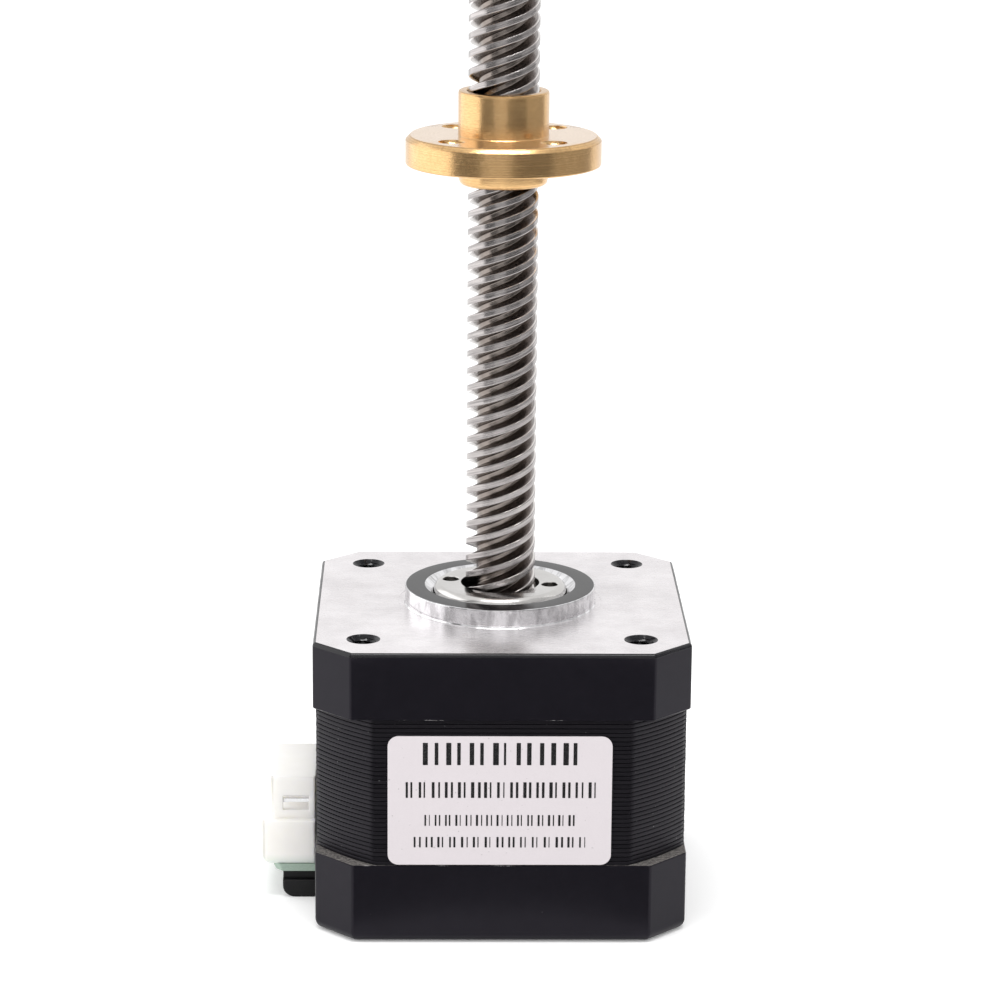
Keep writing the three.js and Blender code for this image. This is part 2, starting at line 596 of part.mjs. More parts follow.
// The white header: a wide base on the board, and above it a narrower shroud, open outwards, round the pins.
function connectorHeader() {
  const base = toSolid(block(
    HEADER_BASE.outer, HEADER_INNER_FACE, -HEADER_BASE.halfLength, HEADER_BASE.halfLength,
    HEADER_BASE.bottom, HEADER_BASE.top,
  ));
  const { outer, halfLength, top, wall, back, floor } = HEADER_SHROUD;
  const shroud = toSolid(block(outer, HEADER_INNER_FACE, -halfLength, halfLength, HEADER_BASE.top - 1, top));
  const socket = toSolid(block(
    outer - 1, HEADER_INNER_FACE - back, wall - halfLength, halfLength - wall, floor, top - wall,
  ));
  const { centre, width, bottom: windowBottom, top: windowTop } = HEADER_WINDOW;
  const windows = toSolid(block(
    centre - width / 2, centre + width / 2, -halfLength - 1, halfLength + 1, windowBottom, windowTop,
  ));
  return toGeometry(subtractAll(base.add(shroud), [socket, windows, ...pinPlaces().flatMap(pinWays)]));
}

// An angled pin: its tail goes down through the board, and its contact points outwards in the shroud.
function connectorPin() {
  const half = PIN.halfWidth;
  const back = PIN.tailX + half;
  const tail = toSolid(block(PIN.tailX - half, back, -half, half, PIN.bottom, PIN.height + half));
  const contact = toSolid(block(PIN.tip, back, -half, half, PIN.height - half, PIN.height + half));
  return toGeometry(tail.add(contact));
}

// The black moulding under the board. It fills the notch in the rear cap and clears the pins' tails.
function connectorSupport() {
  const { outer, inner, halfLength, top, step, setback, rounding } = SUPPORT;
  const outline = new THREE.Shape();
  outline.moveTo(inner, 0);
  outline.lineTo(inner, top);
  outline.lineTo(outer, top);
  outline.lineTo(outer, rounding);
  outline.absarc(outer + rounding, rounding, rounding, Math.PI, 1.5 * Math.PI, false);
  outline.closePath();
  const options = { depth: 2 * halfLength, bevelEnabled: false, curveSegments: 4 };
  const extruded = new THREE.ExtrudeGeometry(outline, options).rotateX(Math.PI / 2);
  const body = toSolid(extruded.translate(0, halfLength, 0));
  const ends = [-1, 1].map((side) => {
    const [near, far] = [side * (halfLength - setback), side * (halfLength + 1)];
    return toSolid(block(outer + 0.4, inner + 1, Math.min(near, far), Math.max(near, far), step, top + 1));
  });
  const half = SUPPORT_POCKET_HALF_WIDTH;
  const reach = halfLength - setback - 0.6;
  const pocket = toSolid(block(PIN.tailX - half, PIN.tailX + half, -reach, reach, step, top + 1));
  return toGeometry(subtractAll(body, [...ends, pocket]));
}

// ---------- label ----------

function label() {
  const { width, height, thickness, radius } = LABEL;
  const [right, top] = [width / 2, height / 2];
  const outline = new THREE.Shape();
  outline.absarc(right - radius, top - radius, radius, 0, Math.PI / 2, false);
  outline.absarc(radius - right, top - radius, radius, Math.PI / 2, Math.PI, false);
  outline.absarc(radius - right, radius - top, radius, Math.PI, 1.5 * Math.PI, false);
  outline.absarc(right - radius, radius - top, radius, 1.5 * Math.PI, 2 * Math.PI, false);
  const options = { depth: thickness, bevelEnabled: false, curveSegments: 4 };
  return closed(new THREE.ExtrudeGeometry(outline, options).rotateX(Math.PI / 2));
}

// ---------- materials ----------

function finish(color, roughness, metalness) {
  return new THREE.MeshStandardMaterial({ color, roughness, metalness });
}

const blackPaint = finish(0x1d1b1f, 0.45, 0.1);
const blackPlastic = finish(0x17171a, 0.5, 0);
const lamination = finish(0x252328, 0.5, 0.3);
const brass = finish(0xc89b4f, 0.3, 1);
const screwSteel = finish(0x8b8178, 0.3, 1);
const brightSteel = finish(0xb9bbbd, 0.25, 1);
const springSteel = finish(0x86888c, 0.35, 1);
const electricalSteel = finish(0x6d7075, 0.45, 1);
const magnetMetal = finish(0x55565a, 0.4, 1);
const copper = finish(0xa4532a, 0.35, 1);
const nylon = finish(0xece9e2, 0.45, 0);
const fibreglass = finish(0x3f6b4b, 0.5, 0);
const tinned = finish(0xc6c7c9, 0.3, 1);
const zincedSteel = finish(0x9a9ca0, 0.35, 1);
const paper = finish(0xe9e6ea, 0.6, 0);

// ---------- assembly ----------

const motor = new THREE.Group();

function part(name, geometry, material, place = [0, 0, 0], turn = 0) {
  const mesh = new THREE.Mesh(geometry, material);
  mesh.name = name;
  mesh.position.set(...place);
  mesh.rotation.z = turn;
  motor.add(mesh);
  return mesh;
}

part('front_end_cap', frontEndCap(), blackPaint);
part('rear_end_cap', rearEndCap(), blackPaint);
part('stator_stack', statorStack(), lamination);
part('front_insulator', insulator(), blackPlastic, [0, 0, STACK_TOP + FIT]);
const rearInsulator = part('rear_insulator', insulator(), blackPlastic, [0, 0, STACK_BOTTOM - FIT]);
rearInsulator.rotation.x = Math.PI;

const windingHeight = (STACK_TOP + STACK_BOTTOM) / 2;
for (let pole = 0; pole < POLES; pole += 1) {
  part(`coil_${pole + 1}`, coil(), copper, [0, 0, windingHeight], pole * 2 * Math.PI / POLES);
}

const bearings = [['front_bearing', FRONT_BEARING], ['rear_bearing', REAR_BEARING]];
for (const [name, bearing] of bearings) {
  const lowerShield = bearing.bottom + FIT;
  const upperShield = bearing.bottom + bearing.width - SHIELD_THICKNESS - FIT;
  part(`${name}_outer_race`, outerRace(bearing), brightSteel);
  part(`${name}_inner_race`, innerRace(bearing), brightSteel);
  part(`${name}_balls_and_cage`, ballCage(bearing), springSteel);
  part(`${name}_lower_shield`, shield(bearing), springSteel, [0, 0, lowerShield]);
  part(`${name}_upper_shield`, shield(bearing), springSteel, [0, 0, upperShield]);
}
part('wave_washer', waveWasher(), springSteel, [0, 0, WAVE_WASHER.bottom]);
part('lock_ring', lockRing(), brightSteel);

holeCentres().forEach(([x, y], i) => {
  part(`tie_screw_${i + 1}`, tieScrew(), zincedSteel, [x, y, 0]);
});

part('connector_board', connectorBoard(), fibreglass);
part('connector_header', connectorHeader(), nylon);
part('connector_support', connectorSupport(), blackPlastic);
pinPlaces().forEach((y, i) => {
  part(`connector_pin_${i + 1}`, connectorPin(), tinned, [0, y, 0]);
});
part('label', label(), paper, [LABEL.x, -STACK_WIDTH / 2 - 0.02, LABEL.bottom + LABEL.height / 2]);

const magnetBottom = (ROTOR_BOTTOM + ROTOR_TOP - MAGNET_HEIGHT) / 2;
const magnetTop = magnetBottom + MAGNET_HEIGHT;
const magnetRing = ring(ROTOR_BORE, MAGNET_RADIUS, magnetBottom + FIT, magnetTop - FIT, MEDIUM);
part('lead_screw', leadScrew(), screwSteel);
part('rear_rotor_cup', rotorCup(ROTOR_BOTTOM, magnetBottom), electricalSteel);
part('rotor_magnet', closed(magnetRing), magnetMetal);
const halfTooth = TOOTH_PITCH / 2 * DEGREE;
part('front_rotor_cup', rotorCup(magnetTop, ROTOR_TOP), electricalSteel, [0, 0, 0], halfTooth);
part('lead_nut', leadNut(), brass);

export default motor;
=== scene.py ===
"""Looks for a stepper motor with a lead screw and a brass flange nut.

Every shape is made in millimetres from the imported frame's boxes and written out in metres.
"""
from math import acos, asin, cos, pi, radians, sin, sqrt, tan
import random

import bpy
from mathutils import Matrix, Vector
from mathutils.geometry import tessellate_polygon


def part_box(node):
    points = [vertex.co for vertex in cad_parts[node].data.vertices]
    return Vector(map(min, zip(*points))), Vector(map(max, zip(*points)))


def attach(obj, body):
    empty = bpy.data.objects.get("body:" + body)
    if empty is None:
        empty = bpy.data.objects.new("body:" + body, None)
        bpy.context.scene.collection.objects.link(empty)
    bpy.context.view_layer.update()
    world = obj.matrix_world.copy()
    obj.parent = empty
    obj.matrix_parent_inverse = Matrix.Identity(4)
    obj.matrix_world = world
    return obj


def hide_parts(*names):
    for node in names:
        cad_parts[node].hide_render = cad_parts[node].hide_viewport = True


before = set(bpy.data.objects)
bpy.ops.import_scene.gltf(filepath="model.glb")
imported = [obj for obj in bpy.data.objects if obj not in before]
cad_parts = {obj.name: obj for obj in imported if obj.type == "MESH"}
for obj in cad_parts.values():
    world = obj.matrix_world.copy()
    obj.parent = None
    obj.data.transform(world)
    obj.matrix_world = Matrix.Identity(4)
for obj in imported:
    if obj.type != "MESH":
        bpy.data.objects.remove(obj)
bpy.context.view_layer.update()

MM = 0.001
TURN = 2 * pi


def box_mm(node):
    """A CAD node's lowest and highest corners in millimetres."""
    low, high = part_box(node)
    return [v / MM for v in low], [v / MM for v in high]


# ---------- places taken from the frame ----------

FRONT_LOW, FRONT_HIGH = box_mm("front_end_cap")
REAR_LOW, REAR_HIGH = box_mm("rear_end_cap")
STACK_LOW, STACK_HIGH = box_mm("stator_stack")
NUT_LOW, NUT_HIGH = box_mm("lead_nut")
SCREW_LOW, SCREW_HIGH = box_mm("lead_screw")
RING_LOW, RING_HIGH = box_mm("lock_ring")
BOARD_LOW, BOARD_HIGH = box_mm("connector_board")
HEADER_LOW, HEADER_HIGH = box_mm("connector_header")
SUPPORT_LOW, SUPPORT_HIGH = box_mm("connector_support")
LABEL_LOW, LABEL_HIGH = box_mm("label")
FRONT_RACE_LOW, FRONT_RACE_HIGH = box_mm("front_bearing_outer_race")
REAR_RACE_HIGH = box_mm("rear_bearing_outer_race")[1]
TIE_LOW, TIE_HIGH = box_mm("tie_screw_1")


# ---------- fixed sizes, in millimetres ----------

# End caps and stack
PILOT_HEIGHT = 2.0
FACE = FRONT_HIGH[2] - PILOT_HEIGHT  # height of the mounting face
PILOT_RADIUS = 11.0
CHAMFER = 4.3
HOLE_SPACING = 31.0
HOLE_RADIUS = 1.65
COUNTERBORE_RADIUS = 3.1
COUNTERBORE_DEPTH = 2.3
STACK_CORNER_RADIUS = 25.25
CAVITY_RADIUS = 18.6
ROLL = 0.45  # rounding of the front cap's painted top edge
LAMINATIONS = 34

# Lead screw thread
STARTS = 4
LEAD = 8.0
THREAD_PHASE_HEIGHT = 1.1
MAJOR_RADIUS = 4.0
MINOR_RADIUS = 2.75
THREAD_BOTTOM = 32.4
HALF_CREST = 16.5  # degrees within one start
FLANK = 15.0

# Lock ring's spanner holes
SPANNER_HOLE_CIRCLE = 5.8
SPANNER_HOLE_TURN = radians(-11)

# Brass nut
NUT_HOLE_CIRCLE = 8.0
NUT_HOLE_TURN = radians(43)
NUT_LOWER_BOSS = 2.3
NUT_FLANGE_THICKNESS = 3.3

# Connector: its pins from the frame, the notch in the rear cap behind it, and the header's shroud and socket
PIN_LOW, PIN_HIGH = box_mm("connector_pin_1")
PIN_HALF = (PIN_HIGH[1] - PIN_LOW[1]) / 2
PIN_TAIL_X = PIN_HIGH[0] - PIN_HALF
PIN_HEIGHT = PIN_HIGH[2] - PIN_HALF
NOTCH_HALF_LENGTH = 7.1
NOTCH_BACK = -18.75
NOTCH_BOARD_BACK = -17.0
NOTCH_SHELF = 3.0
NOTCH_TOP = 4.4
HEADER_LEDGE = 9.35
SHROUD_HALF_LENGTH = 6.1
SHROUD_FOOT_X = -26.25
SHROUD_TOP_X = -26.5
SOCKET_WALL = 0.75
SOCKET_BACK = HEADER_HIGH[0] - 1.1
SOCKET_FLOOR = 9.75

WHITE = (1.0, 1.0, 1.0, 1.0)
PAINT_TINT = (0.94, 0.88, 1.0)  # the black paint's faint violet sheen

# Slots of the cap meshes' materials
PAINT, MACHINED, TURNED, CAST, GLOSS, ROLLED = range(6)

ROUND = 144  # points round a large turned surface
BORE = 36  # points round a small hole
M3_PITCH = 0.5


# ---------- mesh helpers ----------

class Shell:
    """A mesh made of loops of points, joined by strips of quads and closed by flat faces."""

    def __init__(self):
        self.points = []
        self.faces = []
        self.slots = []

    def loop(self, points):
        start = len(self.points)
        self.points.extend(points)
        return list(range(start, len(self.points)))

    def level(self, outline, height):
        """A flat outline as a loop at one height."""
        return self.loop([(x, y, height) for x, y in outline])

    def ring(self, radius, height, centre=(0, 0), count=ROUND):
        return self.level(circle(radius, count, centre), height)

    def walls(self, layers, slot=0):
        """Walls through a loop for each (outline, height)."""
        loops = [self.level(outline, height) for outline, height in layers]
        self.chain(loops, slot)
        return loops

    def plate(self, outline, low, high):
        bottom, top = self.walls([(outline, low), (outline, high)])
        self.face(bottom, up=False)
        self.face(top)

    def turned(self, profile, slot=0, start=None, centre=(0, 0), count=ROUND):
        """Walls turned through a profile of (radius, height), carried on from a loop where one is given."""
        loops = [] if start is None else [start]
        loops += [self.ring(radius, height, centre, count) for radius, height in profile]
        self.chain(loops, slot)
        return loops

    def strip(self, first, second, slot=0):
        """Quads from one anticlockwise loop to the next. Upwards is an outside wall, downwards a bore."""
        for i in range(len(first)):
            j = (i + 1) % len(first)
            self.faces.append((first[i], first[j], second[j], second[i]))
            self.slots.append(slot)

    def chain(self, loops, slot=0):
        for first, second in zip(loops, loops[1:]):
            self.strip(first, second, slot)

    def face(self, outer, holes=(), up=True, slot=0):
        """A flat face, level, inside one loop and outside others."""
        loops = [outer, *holes]
        indices = [index for loop in loops for index in loop]
        outlines = [[Vector(self.points[index]) for index in loop] for loop in loops]
        for triangle in tessellate_polygon(outlines):
            corners = [indices[i] for i in triangle]
            a, b, c = (Vector(self.points[index]) for index in corners)
            if ((b - a).cross(c - a).z > 0) != up:
                corners.reverse()
            self.faces.append(tuple(corners))
            self.slots.append(slot)

    def object(self, name, materials, smooth_angle=32):
        mesh = bpy.data.meshes.new(name)
        mesh.from_pydata([(x * MM, y * MM, z * MM) for x, y, z in self.points], [], self.faces)
        for material in materials:
            mesh.materials.append(material)
        mesh.polygons.foreach_set("material_index", self.slots)
        mesh.polygons.foreach_set("use_smooth", [True] * len(self.faces))
        mesh.validate()
        mesh.set_sharp_from_angle(angle=radians(smooth_angle))
        obj = bpy.data.objects.new(name, mesh)
        bpy.context.collection.objects.link(obj)
        weighted = obj.modifiers.new("weighted_normals", "WEIGHTED_NORMAL")
        weighted.keep_sharp = True
        return obj


def polar(radius, angle, centre=(0, 0)):
    return (centre[0] + radius * cos(angle), centre[1] + radius * sin(angle))


def circle(radius, count, centre=(0, 0)):
    return [polar(radius, TURN * i / count, centre) for i in range(count)]


def corner(radius, height, *steps):
    """Points of a turned profile, as (outwards, upwards) steps from one (radius, height)."""
    return [(radius + outwards, height + rise) for outwards, rise in steps]


def fillet(points, radius, steps):
    """Rounds an outline's corners with arcs of one radius, cut down where a side is short."""
    rounded = []
    count = len(points)
    for i, corner in enumerate(points):
        here = Vector(corner)
        back = Vector(points[i - 1]) - here
        ahead = Vector(points[(i + 1) % count]) - here
        half = back.angle(ahead) / 2
        reach = min(radius / tan(half), 0.49 * back.length, 0.49 * ahead.length)
        arc_radius = reach * tan(half)
        middle = here + (back.normalized() + ahead.normalized()).normalized() * (arc_radius / sin(half))
        start = here + back.normalized() * reach - middle
        end = here + ahead.normalized() * reach - middle
        sweep = start.angle_signed(end)
        for step in range(steps + 1):
            spoke = start.copy()
            spoke.rotate(Matrix.Rotation(-sweep * step / steps, 2))
            rounded.append(tuple(middle + spoke))
    return rounded


def rounded_box(x0, x1, y0, y1, radius, steps=4):
    return fillet([(x0, y0), (x1, y0), (x1, y1), (x0, y1)], radius, steps)


def rolled_foot(steps=7):
    """(inwards, upwards) shares of a quarter-round lower edge, from its foot up to the wall."""
    angles = [pi / 2 * step / steps for step in range(steps + 1)]
    return [(1 - sin(angle), 1 - cos(angle)) for angle in angles]


def chamfered_square(half, chamfer, inset, rounding=0.5, steps=4):
    """A square with 45 degree corners, moved inwards by an inset, with softened upright edges."""
    h = half - inset
    s = h - (chamfer - inset * (2 - sqrt(2)))
    corners = [(h, -s), (h, s), (s, h), (-s, h), (-h, s), (-h, -s), (-s, -h), (s, -h)]
    return fillet(corners, max(rounding - inset, 0.08), steps)


def hole_centres():
    half = HOLE_SPACING / 2
    return [(half, half), (-half, half), (-half, -half), (half, -half)]


def subtract(obj, tool):
    """Cuts one closed mesh out of another for good."""
    cut = obj.modifiers.new("cut", "BOOLEAN")
    cut.operation = "DIFFERENCE"
    cut.solver = "EXACT"
    cut.object = tool
    while obj.modifiers[0] != cut:
        bpy.context.view_layer.objects.active = obj
        with bpy.context.temp_override(object=obj):
            bpy.ops.object.modifier_move_up(modifier="cut")
    with bpy.context.temp_override(object=obj):
        bpy.ops.object.modifier_apply(modifier="cut")
    obj.data.set_sharp_from_angle(angle=radians(32))
    bpy.data.objects.remove(tool)


def cutter(x0, x1, y0, y1, z0, z1):
    shell = Shell()
    shell.plate([(x0, y0), (x1, y0), (x1, y1), (x0, y1)], z0, z1)
    return shell.object("cutter", [])


def finish_piece(obj, slot, *nodes, body="housing"):
    """Makes a piece ride on its body and stand for its CAD nodes."""
    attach(obj, body)
    if nodes:
        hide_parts(*nodes)


# ---------- material helpers ----------

class Graph:
    """One procedural material, worked out in millimetres of the object's own space."""

    def __init__(self, name):
        self.material = bpy.data.materials.new(name)
        self.material.use_nodes = True
        self.tree = self.material.node_tree
        self.shader = next(node for node in self.tree.nodes if node.type == "BSDF_PRINCIPLED")
        coordinates = self.node("TexCoord").outputs["Object"]
        self.place = self.node("VectorMath", {0: coordinates, "Scale": 1 / MM}, operation="SCALE").outputs[0]
        axes = self.node("SeparateXYZ", {0: self.place})
        self.x, self.y, self.z = axes.outputs

    def node(self, kind, inputs=None, **settings):
        made = self.tree.nodes.new("ShaderNode" + kind)
        for name, value in settings.items():
            setattr(made, name, value)
        for key, value in (inputs or {}).items():
            self.feed(made.inputs[key], value)
        return made

    def feed(self, socket, value):
        if isinstance(value, bpy.types.NodeSocket):
            self.tree.links.new(value, socket)
        else:
            socket.default_value = (*value, 1.0) if socket.type == "RGBA" else value

    def math(self, operation, a, b=0.0):
        return self.node("Math", {0: a, 1: b}, operation=operation).outputs[0]

    def times(self, a, b):
        return self.math("MULTIPLY", a, b)

    def plus(self, a, b):
        return self.math("ADD", a, b)

    def minus(self, a, b):
        return self.math("SUBTRACT", a, b)

    def vector(self, x, y, z):
        return self.node("CombineXYZ", {0: x, 1: y, 2: z}).outputs[0]

    def stretched(self, sx, sy, sz):
        """The place with each axis scaled, for drawn-out patterns."""
        return self.node("VectorMath", {0: self.place, 1: (sx, sy, sz)}, operation="MULTIPLY").outputs[0]

    def noise(self, scale, detail=3.0, roughness=0.5, vector=None):
        inputs = {"Vector": vector or self.place, "Scale": scale, "Detail": detail, "Roughness": roughness}
        return self.node("TexNoise", inputs).outputs["Fac"]

    def fade(self, value, start, end):
        """0 at start and 1 at end, level outside."""
        inputs = {"Value": value, "From Min": start, "From Max": end}
        return self.node("MapRange", inputs, clamp=True).outputs["Result"]

    def mix(self, factor, a, b):
        return self.node("Mix", {0: factor, 6: a, 7: b}, data_type="RGBA").outputs[2]

    def blend(self, factor, a, b):
        return self.node("Mix", {0: factor, 2: a, 3: b}, data_type="FLOAT").outputs[0]

    def bump(self, height, strength, distance):
        inputs = {"Height": height, "Strength": strength, "Distance": distance * MM}
        return self.node("Bump", inputs).outputs["Normal"]

    def radius(self):
        return self.math("SQRT", self.plus(self.times(self.x, self.x), self.times(self.y, self.y)))

    def angle(self):
        return self.math("ARCTAN2", self.y, self.x)

    def tool_marks(self, scale, height_scale, detail, roughness):
        """Noise that is level round walls and round in rings on faces, as a lathe leaves."""
        drawn = self.vector(self.times(self.radius(), scale), 0.0, self.times(self.z, height_scale))
        return self.noise(1.0, detail, roughness, drawn)

    def surface(self, color, roughness, **values):
        """Feeds the shader, with any of its other inputs by short name, and returns the material."""
        names = {"metallic": "Metallic", "normal": "Normal", "specular": "Specular IOR Level",
                 "tint": "Specular Tint", "coat": "Coat Weight", "scatter": "Subsurface Weight",
                 "scatter_radius": "Subsurface Radius", "scatter_scale": "Subsurface Scale"}
        self.feed(self.shader.inputs["Base Color"], color)
        self.feed(self.shader.inputs["Roughness"], roughness)
        for key, value in values.items():
            self.feed(self.shader.inputs[names[key]], value)
        return self.material


# ---------- materials ----------

def black_paint(name, chipped_edge):
    """Satin black paint: a fine skin, a few specks, and chips along one level edge."""
    g = Graph(name)
    mottled = g.noise(0.6, 4.0, 0.55)
    color = g.mix(mottled, (0.0066, 0.006, 0.0088), (0.0095, 0.0086, 0.0122))
    grit = g.fade(g.noise(4.2, 2.0, 0.4), 0.785, 0.8)
    patches = g.fade(g.noise(0.16, 2.0, 0.5), 0.5, 0.62)
    specks = g.times(grit, patches)
    ragged = g.noise(3.1, 5.0, 0.75)
    near_edge = g.fade(g.math("ABSOLUTE", g.minus(g.z, chipped_edge)), 0.22, 0.0)
    worn = g.fade(g.noise(0.35, 2.0, 0.5), 0.42, 0.66)
    chipped = g.fade(g.times(g.times(near_edge, worn), ragged), 0.42, 0.45)
    bare = g.math("MAXIMUM", chipped, g.times(specks, 0.6))
    color = g.mix(bare, color, (0.36, 0.35, 0.35))
    roughness = g.blend(g.noise(1.4, 3.0), 0.27, 0.36)
    skin = g.times(g.noise(6.0, 3.0, 0.6), 0.35)
    normal = g.bump(g.minus(skin, bare), 0.3, 0.03)
    return g.surface(color, roughness, specular=0.17, tint=PAINT_TINT, normal=normal)


def gloss_paint():
    """The same paint where it has flowed smooth: over the front cap's rolled edge and in its threads."""
    g = Graph("gloss_paint")
    color = g.mix(g.noise(0.6, 4.0, 0.55), (0.0045, 0.0042, 0.006), (0.008, 0.0074, 0.01))
    flow = g.noise(0.3, 5.0, 0.75)
    roughness = g.blend(g.fade(flow, 0.35, 0.65), 0.06, 0.3)
    return g.surface(color, roughness, specular=0.32, normal=g.bump(g.noise(3.0), 0.08, 0.03))


def gloss_black():
    """The smooth black ring on top of the pilot boss, with faint turning marks."""
    g = Graph("gloss_black")
    marks = g.tool_marks(7.0, 0.0, 3.0, 0.6)
    dust = g.fade(g.noise(5.0, 3.0, 0.5), 0.72, 0.76)
    color = g.mix(g.times(dust, 0.35), (0.009, 0.0085, 0.0095), (0.3, 0.29, 0.29))
    roughness = g.blend(marks, 0.12, 0.2)
    return g.surface(color, roughness, specular=0.24, normal=g.bump(marks, 0.12, 0.01))


def machined_face():
    """Bare aluminium with the fine curved marks of a facing cut and light stains."""
    g = Graph("machined_face")
    stains = g.noise(0.22, 4.0, 0.6)
    color = g.mix(g.fade(stains, 0.3, 0.7), (0.67, 0.64, 0.652), (0.82, 0.79, 0.802))
    marks = g.tool_marks(9.0, 0.0, 2.0, 0.6)
    streaks = g.noise(1.0, 3.0, 0.6, g.stretched(0.35, 7.0, 1.0))
    roughness = g.blend(streaks, 0.2, 0.34)
    height = g.plus(marks, g.times(streaks, 0.6))
    return g.surface(color, roughness, metallic=0.7, normal=g.bump(height, 0.12, 0.01))


def turned_metal(name, base, dark, low, high, marks_scale=8.0, strength=0.18, painted_reflection_banding=0.0):
    """Bright metal off a lathe, with tool marks and, where asked for, upright bands of painted reflection."""
    g = Graph(name)
    marks = g.tool_marks(marks_scale, marks_scale, 3.0, 0.7)
    cloud = g.noise(0.8, 4.0, 0.6)
    color = g.mix(g.times(cloud, marks), base, dark)
    if painted_reflection_banding:
        # painted reflection: darker upright bands round the turned wall, standing in for the studio's
        # reflections
        upright = g.vector(g.times(g.angle(), 7.0), 0.0, g.times(g.z, 0.3))
        painted_reflection_bands = g.fade(g.noise(1.0, 4.0, 0.65, upright), 0.46, 0.6)
        color = g.mix(g.times(painted_reflection_bands, painted_reflection_banding), color, (0.3, 0.295, 0.3))
    roughness = g.blend(marks, low, high)
    return g.surface(color, roughness, metallic=1.0, normal=g.bump(marks, strength, 0.012))


def cast_edge():
    """Rough grey cast metal, where the paint has missed a ledge."""
    g = Graph("cast_edge")
    grain = g.noise(2.6, 6.0, 0.8)
    color = g.mix(g.fade(grain, 0.38, 0.62), (0.035, 0.033, 0.034), (0.27, 0.25, 0.235))
    return g.surface(color, 0.75, specular=0.3, normal=g.bump(grain, 1.0, 0.2))


def lamination_edges(bottom, thickness):
    """Black paint over the edges of stacked sheets, each sheet a little different."""
    g = Graph("lamination_edges")
    sheet = g.math("FLOOR", g.math("DIVIDE", g.minus(g.z, bottom), thickness))
    own = g.node("TexWhiteNoise", {"W": sheet}, noise_dimensions="1D").outputs["Value"]
    smears = g.noise(1.0, 4.0, 0.6, g.stretched(0.5, 0.5, 3.0))
    tone = g.plus(g.times(own, 0.5), g.times(smears, 0.5))
    color = g.mix(tone, (0.006, 0.0056, 0.0075), (0.013, 0.012, 0.0145))
    flecks = g.fade(g.noise(3.2, 3.0, 0.5), 0.74, 0.76)
    color = g.mix(g.times(flecks, 0.5), color, (0.4, 0.4, 0.4))
    roughness = g.blend(smears, 0.36, 0.5)
    normal = g.bump(g.noise(7.0), 0.25, 0.03)
    return g.surface(color, roughness, specular=0.19, tint=PAINT_TINT, normal=normal)


def screw_steel():
    """Rolled thread: bright crests, darker flanks and roots, fine lines along the strands, and a painted
    highlight along the crest edges.
    """
    g = Graph("screw_steel")
    radius = g.radius()
    depth = g.fade(radius, MINOR_RADIUS + 0.05, MAJOR_RADIUS - 0.12)
    angle = g.angle()
    along = g.minus(g.z, g.times(angle, LEAD / TURN))
    strand = g.vector(g.times(along, 7.0), g.times(angle, 0.6), g.times(radius, 9.0))
    lines = g.noise(1.0, 4.0, 0.65, strand)
    cloud = g.noise(0.9, 4.0, 0.6)
    # darker towards the thread's roots, by radius
    root = g.mix(cloud, (0.15, 0.128, 0.115), (0.3, 0.262, 0.238))
    crest = g.mix(g.fade(lines, 0.35, 0.65), (0.24, 0.225, 0.222), (0.47, 0.44, 0.432))
    color = g.mix(depth, root, crest)
    # painted highlight: a pale band along the crest edges, where the light glints
    corner = g.times(g.fade(radius, MAJOR_RADIUS - 0.3, MAJOR_RADIUS - 0.14),
                    g.fade(radius, MAJOR_RADIUS - 0.015, MAJOR_RADIUS - 0.07))
    color = g.mix(g.times(corner, 0.8), color, (0.86, 0.83, 0.81))
    roughness = g.blend(lines, 0.12, 0.26)
    return g.surface(color, roughness, metallic=1.0, normal=g.bump(lines, 0.6, 0.02))


def turned_brass(name, light, deep, shade):
    """Brass off a lathe: sharp tool marks, a little upright chatter, upright bands of painted reflection and
    light tarnish.
    """
    g = Graph(name)
    marks = g.tool_marks(10.0, 11.0, 3.0, 0.75)
    chatter = g.noise(1.0, 3.0, 0.6, g.stretched(2.0, 2.0, 9.0))
    both = g.plus(g.times(marks, 0.7), g.times(chatter, 0.3))
    # painted reflection: upright bands round the nut, standing in for the studio's reflections
    upright = g.vector(g.times(g.angle(), 26.0), 0.0, g.times(g.z, 0.7))
    painted_reflection_bands = g.noise(1.0, 4.0, 0.7, upright)
    tarnish = g.noise(0.5, 4.0, 0.6)
    # mixed toward the shade colour where the tool marks dip, which is their own grain, and in the painted
    # reflection bands
    worn = g.math("MAXIMUM", g.fade(both, 0.6, 0.34), g.fade(painted_reflection_bands, 0.46, 0.8))
    color = g.mix(worn, g.mix(tarnish, deep, light), shade)
    roughness = g.blend(both, 0.14, 0.3)
    return g.surface(color, roughness, metallic=1.0, normal=g.bump(both, 0.6, 0.02))


def label_paper():
    g = Graph("label_paper")
    fibres = g.noise(6.0, 4.0, 0.6)
    color = g.mix(fibres, (0.61, 0.565, 0.585), (0.655, 0.61, 0.63))
    specks = g.fade(g.noise(2.4, 2.0, 0.4), 0.75, 0.765)
    color = g.mix(g.times(specks, 0.5), color, (0.3, 0.28, 0.28))
    return g.surface(color, 0.42, specular=0.35, normal=g.bump(fibres, 0.08, 0.02))


def print_ink():
    g = Graph("print_ink")
    worn = g.noise(9.0, 3.0, 0.6)
    color = g.mix(g.fade(worn, 0.5, 0.75), (0.012, 0.012, 0.013), (0.06, 0.058, 0.06))
    return g.surface(color, 0.5, specular=0.15)


